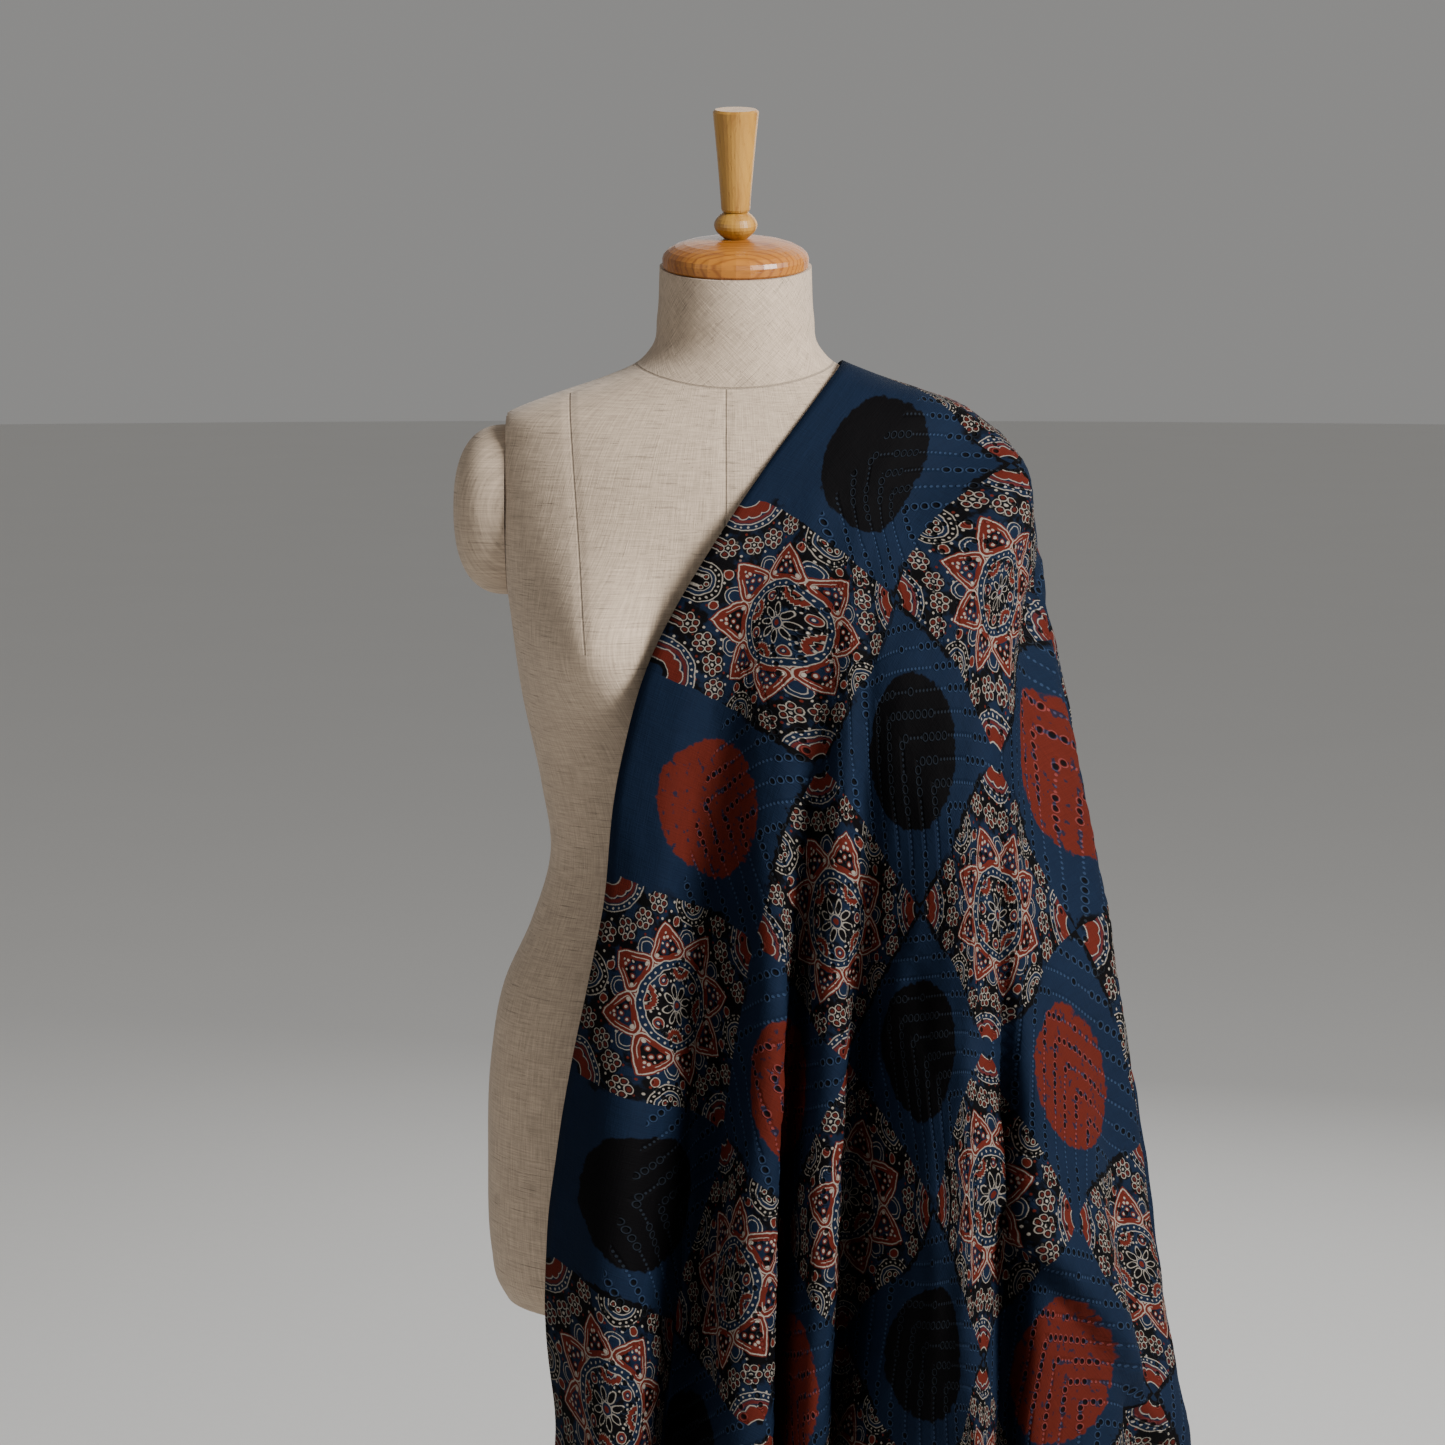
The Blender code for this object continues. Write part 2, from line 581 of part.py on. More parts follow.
def main():
    """Clears the scene and builds every piece."""
    for old in list(bpy.data.objects):
        bpy.data.objects.remove(old)
    linen = new_material("linen", (0.60, 0.52, 0.42), 0.9, 0.0)
    print_cloth = new_material("printed_cotton", (0.03, 0.07, 0.14), 0.85, 0.0)
    wood_cap = new_material("cap_wood", (0.50, 0.25, 0.08), 0.35, 0.0)
    wood_handle = new_material("handle_wood", (0.65, 0.40, 0.17), 0.4, 0.0)
    metal = new_material("painted_metal", (0.03, 0.03, 0.03), 0.5, 0.0)
    torso = make_torso(linen)
    make_arm_cap("arm_cap_right", -1, linen)
    arm = make_arm_cap("arm_cap_left", 1, linen)
    make_wood(wood_cap, wood_handle)
    make_stand(metal)
    cloth = make_cloth(print_cloth)
    seat_cloth(cloth, (torso, arm))


main()
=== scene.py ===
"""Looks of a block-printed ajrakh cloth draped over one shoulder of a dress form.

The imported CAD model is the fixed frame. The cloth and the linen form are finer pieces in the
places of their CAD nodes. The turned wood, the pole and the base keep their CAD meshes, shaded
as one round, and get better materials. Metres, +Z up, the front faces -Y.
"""

import math

import bmesh
import bpy
import numpy as np
from bpy.props import FloatProperty, FloatVectorProperty, IntProperty, PointerProperty
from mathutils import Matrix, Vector


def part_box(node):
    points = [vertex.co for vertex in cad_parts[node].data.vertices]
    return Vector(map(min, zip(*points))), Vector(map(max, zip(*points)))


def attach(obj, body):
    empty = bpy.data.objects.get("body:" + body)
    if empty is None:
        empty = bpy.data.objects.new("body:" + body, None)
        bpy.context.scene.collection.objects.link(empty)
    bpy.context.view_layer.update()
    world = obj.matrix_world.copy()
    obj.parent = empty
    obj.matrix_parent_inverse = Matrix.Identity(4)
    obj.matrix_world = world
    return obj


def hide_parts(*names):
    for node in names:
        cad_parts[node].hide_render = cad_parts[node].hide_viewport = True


bl_info = {
    "name": "Ajrakh cloth on a dress form",
    "version": (1, 0, 0),
    "blender": (4, 5, 0),
    "location": "View3D > Sidebar > Cloth",
    "description": "Drapes a block-printed cloth over one shoulder of a linen dress form",
    "category": "Object",
}

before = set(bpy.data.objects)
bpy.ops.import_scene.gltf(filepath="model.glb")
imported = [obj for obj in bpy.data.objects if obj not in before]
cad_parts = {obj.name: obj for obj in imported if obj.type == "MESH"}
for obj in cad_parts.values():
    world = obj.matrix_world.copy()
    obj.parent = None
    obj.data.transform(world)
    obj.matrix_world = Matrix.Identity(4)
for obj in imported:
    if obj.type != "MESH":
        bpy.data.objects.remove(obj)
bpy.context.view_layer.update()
CAD_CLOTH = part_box("cloth")
BODY = "root"

# Photograph's view
IMAGE_SIDE = 1445
FOCAL_PIXELS = 3500
SENSOR = 36.0
CAMERA_PLACE = (-0.0088, -2.38, 1.56)
CAMERA_DIP = math.radians(7.69)

# Torso, a stack of rounded sections: height, half width, front, back, squareness
TORSO_SECTIONS = (
    (0.838, 0.1600, 0.096, 0.100, 2.3),
    (0.850, 0.1665, 0.102, 0.108, 2.3),
    (0.870, 0.1700, 0.106, 0.114, 2.3),
    (0.937, 0.1720, 0.108, 0.118, 2.3),
    (1.009, 0.1690, 0.106, 0.115, 2.3),
    (1.058, 0.1600, 0.099, 0.101, 2.3),
    (1.101, 0.1410, 0.090, 0.085, 2.3),
    (1.150, 0.1272, 0.084, 0.075, 2.3),
    (1.199, 0.1331, 0.088, 0.078, 2.4),
    (1.261, 0.1456, 0.099, 0.088, 2.5),
    (1.327, 0.1545, 0.104, 0.100, 2.5),
    (1.390, 0.1640, 0.093, 0.100, 2.4),
    (1.430, 0.1620, 0.080, 0.090, 2.3),
    (1.450, 0.1560, 0.070, 0.078, 2.2),
    (1.465, 0.1190, 0.063, 0.067, 2.1),
    (1.474, 0.0920, 0.060, 0.060, 2.0),
    (1.483, 0.0700, 0.058, 0.054, 2.0),
    (1.495, 0.0570, 0.057, 0.048, 2.0),
    (1.515, 0.0530, 0.059, 0.044, 2.0),
    (1.548, 0.0512, 0.0608, 0.041, 2.0),
)
BUST_SIDE = 0.100
BUST_HEIGHT = 1.298
BUST_RISE = 0.043
BUST_WIDTH = 0.046
BUST_DROP = 0.050
NECK_LEAN = math.radians(9.5)
NECK_LEAN_START = 1.495
NECK_TOP = 1.548
NECK_MIDDLE_Y = -0.0098
ARMHOLE_X = 0.1545
ARMHOLE_BOTTOM = 1.30
ARM_HEIGHT = 1.385
ARM_HALF_HEIGHT = 0.0578
ARM_HALF_DEPTH = 0.0430
ARM_REACH = 0.0368
ARM_ROUNDNESS = 2.5
ARM_SIDES = 96
ARM_RINGS = 28
ARM_TIP = 0.985
SEAT_GAP = 0.0003

# Line of the shoulder that carries the cloth: places x, z under it
RIDGE = (
    (0.0600, 1.4900),
    (0.0720, 1.4840),
    (0.0920, 1.4760),
    (0.1190, 1.4670),
    (0.1450, 1.4590),
    (0.1620, 1.4520),
    (0.1760, 1.4410),
    (0.1870, 1.4240),
    (0.1925, 1.4020),
    (0.1935, 1.3800),
)
RIDGE_START_X = 0.0690
RIDGE_SAMPLES = 400
RIDGE_STEP = 0.004

# Fold paths: first reach off the shoulder, samples, length and distance from the form
LEAVE_REACH = 0.022
PATH_SAMPLES = 240
PATH_REACH = 1.50
PATH_CLEARANCE = 0.0060

# How points are pushed clear of the form, and how often an interval of lines is halved
SLOPE_STEP = 0.0008
PUSH_ROUNDS = 6
PUSH_LIMIT = 0.03
HALVINGS = 34

# Heights at which the fold lines are placed: chest, bust, waist, hip, thigh and hem
FOLD_HEIGHTS = (1.40, 1.30, 1.10, 0.93, 0.78, 0.30)

# Fold lines. The first columns are the place where the line leaves the shoulder, in squares
# from the neck, and its lean in degrees from the selvedge. The other columns are its x and y
# at the six heights. A line that leaves the arm has no place at chest height. The lines run in
# this order: edge, soft crest, first valley, crest and brow, second valley, crest and brow,
# third valley, tuck, third crest and brow, fourth valley, crest and brow, fifth valley, rim,
# side valley, side crest, side line.
FRONT_LINES = (
    (0.00, 0.0, (0.003, -0.100), (-0.056, -0.128), (-0.093, -0.132),
     (-0.124, -0.142), (-0.120, -0.146), (-0.115, -0.146)),
    (0.01, 5.0, (0.014, -0.100), (-0.030, -0.131), (-0.056, -0.148),
     (-0.078, -0.178), (-0.081, -0.186), (-0.078, -0.190)),
    (0.08, 10.0, (0.032, -0.098), (-0.001, -0.126), (-0.020, -0.118),
     (-0.032, -0.118), (-0.048, -0.116), (-0.052, -0.114)),
    (0.18, 16.0, (0.050, -0.097), (0.021, -0.136), (0.021, -0.166),
     (0.004, -0.186), (-0.009, -0.196), (-0.018, -0.204)),
    (0.20, 19.5, (0.060, -0.095), (0.041, -0.140), (0.032, -0.166),
     (0.021, -0.184), (0.014, -0.194), (0.008, -0.200)),
    (0.22, 21.0, (0.068, -0.093), (0.055, -0.139), (0.039, -0.136),
     (0.027, -0.134), (0.020, -0.132), (0.014, -0.130)),
    (0.26, 24.8, (0.078, -0.091), (0.070, -0.147), (0.055, -0.172),
     (0.043, -0.188), (0.038, -0.196), (0.032, -0.204)),
    (0.30, 28.0, (0.086, -0.089), (0.078, -0.149), (0.069, -0.176),
     (0.060, -0.192), (0.052, -0.200), (0.048, -0.206)),
    (0.34, 29.3, (0.093, -0.086), (0.087, -0.146), (0.078, -0.142),
     (0.070, -0.132), (0.061, -0.132), (0.056, -0.132)),
    (0.55, 33.0, (0.118, -0.076), (0.105, -0.150), (0.104, -0.168),
     (0.105, -0.205), (0.085, -0.198), (0.080, -0.200)),
    (0.80, 37.5, None, (0.140, -0.146), (0.140, -0.190),
     (0.137, -0.232), (0.144, -0.240), (0.150, -0.252)),
    (1.00, 41.0, None, (0.162, -0.137), (0.157, -0.184),
     (0.152, -0.224), (0.157, -0.232), (0.172, -0.242)),
    (1.06, 43.5, None, (0.175, -0.122), (0.169, -0.158),
     (0.173, -0.170), (0.174, -0.178), (0.192, -0.184)),
    (1.10, 46.5, None, (0.181, -0.116), (0.183, -0.168),
     (0.194, -0.202), (0.190, -0.212), (0.214, -0.230)),
    (1.10, 55.0, None, (0.184, -0.107), (0.204, -0.147),
     (0.229, -0.180), (0.240, -0.188), (0.268, -0.204)),
    (1.10, 60.0, None, (0.192, -0.088), (0.222, -0.118),
     (0.245, -0.138), (0.260, -0.144), (0.285, -0.150)),
    (1.10, 66.0, None, (0.212, -0.060), (0.253, -0.076),
     (0.278, -0.088), (0.300, -0.094), (0.340, -0.104)),
    (1.10, 74.0, None, (0.211, -0.034), (0.232, -0.048),
     (0.252, -0.054), (0.268, -0.058), (0.296, -0.060)),
    (1.10, 82.0, None, (0.217, -0.016), (0.254, -0.022),
     (0.285, -0.026), (0.304, -0.028), (0.344, -0.032)),
    (1.10, 90.0, None, (0.212, 0.000), (0.238, 0.000),
     (0.262, 0.000), (0.276, 0.000), (0.300, 0.000)),
)
# The back has the same starts and leans, so it holds places only, without the side line
BACK_LINES = (
    ((0.020, 0.108), (-0.020, 0.110), (-0.060, 0.116),
     (-0.090, 0.140), (-0.100, 0.142), (-0.105, 0.142)),
    ((0.028, 0.108), (-0.008, 0.112), (-0.038, 0.130),
     (-0.062, 0.168), (-0.072, 0.176), (-0.078, 0.180)),
    ((0.040, 0.107), (0.014, 0.109), (-0.010, 0.110),
     (-0.030, 0.132), (-0.042, 0.132), (-0.048, 0.132)),
    ((0.052, 0.105), (0.030, 0.113), (0.014, 0.142),
     (0.000, 0.184), (-0.010, 0.196), (-0.020, 0.204)),
    ((0.061, 0.103), (0.044, 0.113), (0.030, 0.142),
     (0.020, 0.180), (0.014, 0.192), (0.006, 0.200)),
    ((0.069, 0.101), (0.056, 0.109), (0.042, 0.118),
     (0.034, 0.140), (0.028, 0.142), (0.022, 0.142)),
    ((0.079, 0.099), (0.070, 0.111), (0.060, 0.146),
     (0.052, 0.184), (0.048, 0.196), (0.042, 0.206)),
    ((0.087, 0.097), (0.081, 0.111), (0.074, 0.146),
     (0.070, 0.184), (0.066, 0.196), (0.060, 0.208)),
    ((0.094, 0.095), (0.090, 0.107), (0.086, 0.120),
     (0.084, 0.146), (0.080, 0.148), (0.076, 0.148)),
    ((0.112, 0.088), (0.108, 0.107), (0.108, 0.140),
     (0.108, 0.176), (0.106, 0.188), (0.100, 0.200)),
    (None, (0.134, 0.104), (0.138, 0.150),
     (0.140, 0.190), (0.146, 0.206), (0.150, 0.226)),
    (None, (0.150, 0.096), (0.156, 0.142),
     (0.160, 0.180), (0.166, 0.194), (0.176, 0.212)),
    (None, (0.162, 0.086), (0.170, 0.114),
     (0.176, 0.134), (0.182, 0.142), (0.196, 0.148)),
    (None, (0.172, 0.082), (0.186, 0.124),
     (0.196, 0.160), (0.204, 0.176), (0.220, 0.196)),
    (None, (0.183, 0.074), (0.204, 0.112),
     (0.218, 0.144), (0.228, 0.158), (0.250, 0.178)),
    (None, (0.194, 0.060), (0.216, 0.086),
     (0.232, 0.102), (0.244, 0.110), (0.268, 0.118)),
    (None, (0.206, 0.046), (0.242, 0.074),
     (0.264, 0.098), (0.280, 0.108), (0.310, 0.122)),
    (None, (0.209, 0.029), (0.234, 0.044),
     (0.248, 0.053), (0.262, 0.058), (0.288, 0.062)),
    (None, (0.217, 0.015), (0.254, 0.023),
     (0.288, 0.030), (0.308, 0.034), (0.346, 0.040)),
)

# Way that the print lies on the drape, in squares: it slides back further from the neck, and
# it is spread sideways over the chest
SLIDE = 0.45
SLIDE_REACH = 0.9
SLIDE_FADE = 2.5
SPREAD = 0.24
SPREAD_PLACE = (1.6, 1.9)
SPREAD_SIZE = (1.6, 1.4)

# Places of the flat sheet where the print is nudged, in squares: along, across, and the
# shift along and across
NUDGES = (
    (-0.13, 0.00, 0.13, 0.00), (1.18, 0.00, -0.18, 0.04), (2.08, 0.05, -0.08, 0.00),
    (3.04, 0.05, -0.04, -0.03), (4.00, 0.05, 0.00, -0.04), (4.84, 0.00, 0.16, 0.00),
    (0.38, 0.95, -0.13, 0.13), (1.13, 1.35, 0.12, -0.16), (2.08, 1.00, 0.05, 0.14),
    (3.04, 1.00, 0.05, 0.07), (3.94, 1.20, 0.15, -0.18), (5.04, 0.90, 0.00, 0.10),
    (0.20, 1.70, 0.16, 0.40), (1.40, 2.20, 0.00, -0.03), (2.28, 2.30, 0.00, -0.12),
    (3.24, 2.05, 0.00, 0.03), (4.19, 1.95, 0.00, 0.07), (5.09, 1.90, 0.04, 0.10),
    (1.09, 3.16, 0.29, -0.06), (2.56, 2.95, -0.18, 0.11), (3.34, 3.25, -0.05, -0.20),
    (4.34, 2.85, -0.11, 0.16), (1.43, 4.14, 0.00, -0.12), (2.43, 4.00, -0.05, 0.00),
    (3.54, 3.87, -0.22, 0.12), (1.97, 5.10, 0.22, -0.10), (1.70, 3.68, 0.16, -0.12),
    (0.35, 1.40, -0.20, 0.12), (0.19, 2.17, 0.32, 0.28), (0.72, 2.60, 0.16, 0.18),
    (0.74, 0.70, 0.00, -0.16), (1.62, 0.66, -0.02, -0.08), (3.54, 0.44, -0.05, 0.10),
    (3.55, 1.45, 0.06, 0.10), (2.68, 3.44, 0.12, 0.06),
)
NUDGE_REACH = 0.60
NUDGE_FLOOR = 0.05
UV_SPAN = 16.0

# Linen: radii that turn an angle into a length, threads and seams
TORSO_RADIUS = 0.14
NECK_RADIUS = 0.055
THREAD = 0.0011
SLUB = 0.0013
SEAM_WIDTH = 0.0006
NECK_SEAM = 1.4743
NECK_SEAM_CURVE = 2.5
NECK_SEAM_TILT = 0.08
SIDE_SEAM_X = 0.098
SIDE_SEAM_TOP = 1.30
SIDE_SEAM_LEAN = 0.081
MIDDLE_SEAM_X = -0.0068

# Roughness of the varnished wood
CAP_ROUGHNESS = 0.36
HANDLE_ROUGHNESS = 0.30

# Faces that meet at a smaller angle than this are shaded as one round
SMOOTH_ANGLE = math.radians(40)

# Small creases, given in squares of the flat sheet: along and across of both ends,
# width, and height in metres
CREASES = (
    (2.05, 0.14, 2.45, 0.20, 0.045, -0.0016),
    (2.50, 0.14, 2.98, 0.22, 0.045, -0.0016),
    (1.98, 0.47, 2.26, 0.43, 0.040, 0.0018),
    (2.13, 0.40, 2.70, 0.72, 0.035, -0.0016),
    (2.86, 0.38, 3.02, 0.58, 0.035, 0.0014),
    (2.53, 2.30, 3.09, 2.36, 0.050, 0.0030),
    (2.53, 2.30, 2.83, 2.70, 0.050, -0.0022),
    (3.60, 0.45, 4.30, 0.62, 0.060, 0.0014),
    (4.60, 0.62, 5.30, 0.85, 0.060, -0.0018),
    (1.30, 2.70, 1.90, 2.90, 0.060, -0.0016),
    (3.35, 3.10, 3.80, 3.45, 0.060, 0.0022),
    (0.40, 1.12, 0.28, 1.50, 0.300, 0.0065),
    (-1.60, 1.10, -2.30, 1.40, 0.060, -0.0020),
    (-2.80, 2.30, -3.50, 2.70, 0.070, 0.0024),
    (-3.90, 0.50, -4.60, 0.80, 0.060, -0.0018),
)
# Fold edges: both ends, the width of the steep side, which lies on the side of its sign, the
# width of the other side, and the height in metres
FOLD_EDGES = (
    (4.04, 0.40, 5.45, 0.72, -0.25, 0.35, 0.0100),
    (3.24, 1.20, 5.00, 1.96, 0.09, 0.35, 0.0090),
    (2.99, 1.80, 4.70, 2.86, 0.09, 0.20, 0.0050),
    (2.13, 2.95, 3.70, 4.25, 0.12, 0.25, 0.0050),
    (1.33, 3.40, 2.45, 4.95, 0.12, 0.25, 0.0050),
    (2.66, 3.95, 2.26, 5.20, -0.045, 0.35, 0.0140),
    (-2.50, 4.10, -2.10, 5.30, 0.04, 0.30, 0.0070),
    (-3.10, 0.90, -4.90, 1.50, 0.10, 0.35, 0.0080),
    (-2.60, 2.10, -4.30, 3.10, -0.10, 0.30, 0.0070),
)
CRINKLE = 0.0005
EDGE_WAVE = 0.0016

# Print, in squares: undyed lines with their soft edges, other soft edges, beads, the small
# flowers, and how far hand printing wanders
LINE = 0.0047
LINE_SOFT = 0.002
FINE_LINE = 0.0037
FINE_SOFT = 0.0018
SOFT = 0.003
BEAD = 0.0055
SMALL_FLOWER = 0.055
WANDER = 0.028

# Embroidery, in squares of cloth
PLAIN_EDGE = 0.40
EYELET_CELL = math.sqrt(0.5)
EYELET_ROWS = 7
EYELET_PITCH = 0.0460
EYELET_RUN = 0.160
EYELET_PERIOD = 0.391
EYELET_HOLE = 0.0112
EYELET_SOFT = 0.0025
STITCH_PITCH = 0.0250
STITCH_SIZE = 0.0075
THREAD_TINT = (0.030, 0.044, 0.062)
# Colour of the eyelet holes: painted shade, near black, for the shaded form seen through them
HOLE_SHADE = (0.0012, 0.0012, 0.0016)

# Stage: area lights with their sizes and places, the point they aim at, and the room's colour
LIGHTS = (
    ("key", 1.1, (1.98, -1.55, 2.65)),
    ("fill", 1.6, (-1.9, -1.6, 1.8)),
    ("back", 3.0, (0.9, 3.2, 2.5)),
)
LIGHT_AIM = (0.05, 0, 1.35)
ROOM_COLOUR = (1.0, 0.99, 0.97, 1)
FLOOR_SIDES = 96


class ClothSizes(bpy.types.PropertyGroup):
    """Sizes and dyes of the cloth."""

    width: FloatProperty(
        name="Width", description="Width from selvedge to selvedge", default=1.118, unit="LENGTH")
    length: FloatProperty(
        name="Length", description="Length from end to end", default=1.830, unit="LENGTH")
    squares: IntProperty(
        name="Squares", description="Printed squares across the width", default=8)
    thickness: FloatProperty(
        name="Thickness", description="Thickness of the cloth", default=0.0012, unit="LENGTH")
    clearance: FloatProperty(
        name="Clearance", description="Middle of the cloth from the form", default=0.0030,
        unit="LENGTH")
    step: FloatProperty(
        name="Step", description="Length of one mesh face", default=0.0070, unit="LENGTH")
    indigo: FloatVectorProperty(
        name="Indigo", description="Plain dyed ground", default=(0.0036, 0.0080, 0.0190),
        subtype="COLOR")
    black: FloatVectorProperty(
        name="Black", description="Iron black of the print", default=(0.0011, 0.0009, 0.0012),
        subtype="COLOR")
    madder: FloatVectorProperty(
        name="Madder", description="Red of the print", default=(0.0610, 0.0082, 0.0046),
        subtype="COLOR")
    resist: FloatVectorProperty(
        name="Resist", description="Undyed lines of the print", default=(0.188, 0.165, 0.136),
        subtype="COLOR")


class FormSizes(bpy.types.PropertyGroup):
    """Sizes and colours of the linen form and its wood."""

    levels: IntProperty(name="Levels", description="Mesh rows up the torso", default=240)
    sides: IntProperty(name="Sides", description="Mesh columns round the torso", default=256)
    linen: FloatVectorProperty(
        name="Linen", description="Colour of the cover", default=(0.435, 0.335, 0.245),
        subtype="COLOR")
    cap_wood: FloatVectorProperty(
        name="Cap wood", description="Colour of the varnished cap", default=(0.33, 0.115, 0.012),
        subtype="COLOR")
    handle_wood: FloatVectorProperty(
        name="Handle wood", description="Colour of the collar and handle",
        default=(0.37, 0.180, 0.028), subtype="COLOR")


class StageSizes(bpy.types.PropertyGroup):
    """Floor, light and stand."""

    floor_radius: FloatProperty(
        name="Floor radius", description="Radius of the floor", default=30.0, unit="LENGTH")
    floor_tone: FloatVectorProperty(
        name="Floor tone", description="Colour of the floor", default=(0.80, 0.79, 0.77),
        subtype="COLOR")
    key_power: FloatProperty(name="Key light", description="Power in watts", default=203.0)
    fill_power: FloatProperty(name="Fill light", description="Power in watts", default=6.0)
    back_power: FloatProperty(name="Back light", description="Power in watts", default=34.0)
    sky: FloatProperty(name="Room light", description="Strength of the room", default=0.27)
    stand: FloatVectorProperty(
        name="Stand", description="Colour of the painted stand", default=(0.018, 0.017, 0.016),
        subtype="COLOR")


class Wire:
    """A socket in a node tree. Operators on it add Math nodes."""

    def __init__(self, nodes, socket):
        self.nodes = nodes
        self.socket = socket

    def __add__(self, other):
        return self.nodes.maths("ADD", self, other)

    def __radd__(self, other):
        return self.nodes.maths("ADD", other, self)

    def __sub__(self, other):
        return self.nodes.maths("SUBTRACT", self, other)

    def __rsub__(self, other):
        return self.nodes.maths("SUBTRACT", other, self)

    def __mul__(self, other):
        return self.nodes.maths("MULTIPLY", self, other)

    def __rmul__(self, other):
        return self.nodes.maths("MULTIPLY", other, self)

    def __truediv__(self, other):
        return self.nodes.maths("DIVIDE", self, other)

    def __mod__(self, other):
        return self.nodes.maths("FLOORED_MODULO", self, other)

    def __abs__(self):
        return self.nodes.maths("ABSOLUTE", self)

    def __floor__(self):
        return self.nodes.maths("FLOOR", self)


class Nodes:
    """A material's node tree, with one method that adds any node."""

    def __init__(self, name):
        self.material = bpy.data.materials.new(name)
        self.material.use_nodes = True
        self.tree = self.material.node_tree

    def join(self, sockets, values):
        """Sets or links sockets, each with its value."""
        for key, value in values:
            if isinstance(value, Wire):
                self.tree.links.new(value.socket, sockets[key])
            else:
                sockets[key].default_value = value

    def add(self, kind, settings, values, output=0):
        """Adds a node, makes its settings, then sets or links its sockets."""
        made = self.tree.nodes.new(kind)
        for key, setting in settings.items():
            setattr(made, key, setting)
        self.join(made.inputs, values.items() if isinstance(values, dict) else enumerate(values))
        return Wire(self, made.outputs[output])

    def surface(self, sockets):
        """Sets or links the shader's own sockets and gives the material."""
        self.join(self.tree.nodes["Principled BSDF"].inputs, sockets.items())
        return self.material

    def maths(self, operation, *values):
        return self.add("ShaderNodeMath", {"operation": operation}, values)

    def step(self, value, zero, one):
        """0 at one value, 1 at the other, with a soft change between."""
        return self.add("ShaderNodeMapRange", {"interpolation_type": "SMOOTHSTEP"},
                        (value, zero, one, 0.0, 1.0))

    def inside(self, distance, radius, soft=SOFT):
        """1 where the distance is under the radius."""
        return self.step(distance, radius + soft, radius - soft)

    def ring(self, distance, radius, width, soft):
        """1 within half the width of the radius."""
        return self.inside(abs(distance - radius), width / 2, soft)

    def line(self, distance, *radii):
        """Printed lines at some radii."""
        return self.most([self.ring(distance, radius, LINE, LINE_SOFT) for radius in radii])

    def fine_line(self, distance, *radii):
        """Fine printed lines at some radii."""
        return self.most([self.ring(distance, radius, FINE_LINE, FINE_SOFT) for radius in radii])

    def dot(self, distance, radius):
        return self.inside(distance, radius, LINE_SOFT)

    def larger(self, one, other):
        return self.maths("MAXIMUM", one, other)

    def smaller(self, one, other):
        return self.maths("MINIMUM", one, other)

    def most(self, values):
        """Largest of some values."""
        best = values[0]
        for value in values[1:]:
            best = self.larger(best, value)
        return best

    def vector(self, x, y, z=0.0):
        return self.add("ShaderNodeCombineXYZ", {}, (x, y, z))

    def parts(self, vector):
        made = self.add("ShaderNodeSeparateXYZ", {}, (vector,))
        outputs = made.socket.node.outputs
        return [Wire(self, outputs[number]) for number in range(3)]

    def distance(self, place, *spots):
        """Distance to the nearest of some spots."""
        nearest = None
        for x, y in spots:
            far = self.add("ShaderNodeVectorMath", {"operation": "DISTANCE"},
                           (place, (x, y, 0.0)), "Value")
            nearest = self.smaller(nearest, far) if nearest else far
        return nearest

    def turn(self, y, x):
        return self.maths("ARCTAN2", y, x)

    def hypot(self, x, y):
        return self.maths("SQRT", x * x + y * y)

    def noise(self, vector, scale, detail=2.0, roughness=0.5):
        return self.add("ShaderNodeTexNoise", {}, {
            "Vector": vector, "Scale": scale, "Detail": detail, "Roughness": roughness})

    def cells(self, vector, scale, randomness, output):
        return self.add("ShaderNodeTexVoronoi", {"voronoi_dimensions": "2D"}, {
            "Vector": vector, "Scale": scale, "Randomness": randomness}, output)

    def mix(self, under, over, share):
        """Colour between two colours."""
        under, over = (value if isinstance(value, Wire) else (*value, 1.0)
                       for value in (under, over))
        return self.add("ShaderNodeMix", {"data_type": "RGBA"}, {0: share, 6: under, 7: over}, 2)

    def paint(self, shade, *layers):
        """Dyes laid over a colour in turn, each where its mask is 1."""
        for dye, mask in layers:
            shade = self.mix(shade, dye, mask)
        return shade

    def tone(self, colour, amount):
        """Colour made darker or lighter by a number near 1."""
        return self.add("ShaderNodeVectorMath", {"operation": "SCALE"},
                        {0: colour, "Scale": amount})

    def bump(self, height, depth, strength):
        """Normal that follows a height map, its depth in metres."""
        return self.add("ShaderNodeBump", {}, {
            "Strength": strength, "Distance": depth, "Height": height})


def object_place(nodes):
    """Object coordinates and their three parts."""
    place = nodes.add("ShaderNodeTexCoord", {}, {}, "Object")
    return place, nodes.parts(place)


def threads(nodes, x, y, thick, long):
    """Uneven threads along x: noise that is fine across them and long along them."""
    return nodes.noise(nodes.vector(x / long, y / thick), 1.0, 2.0, 0.6)


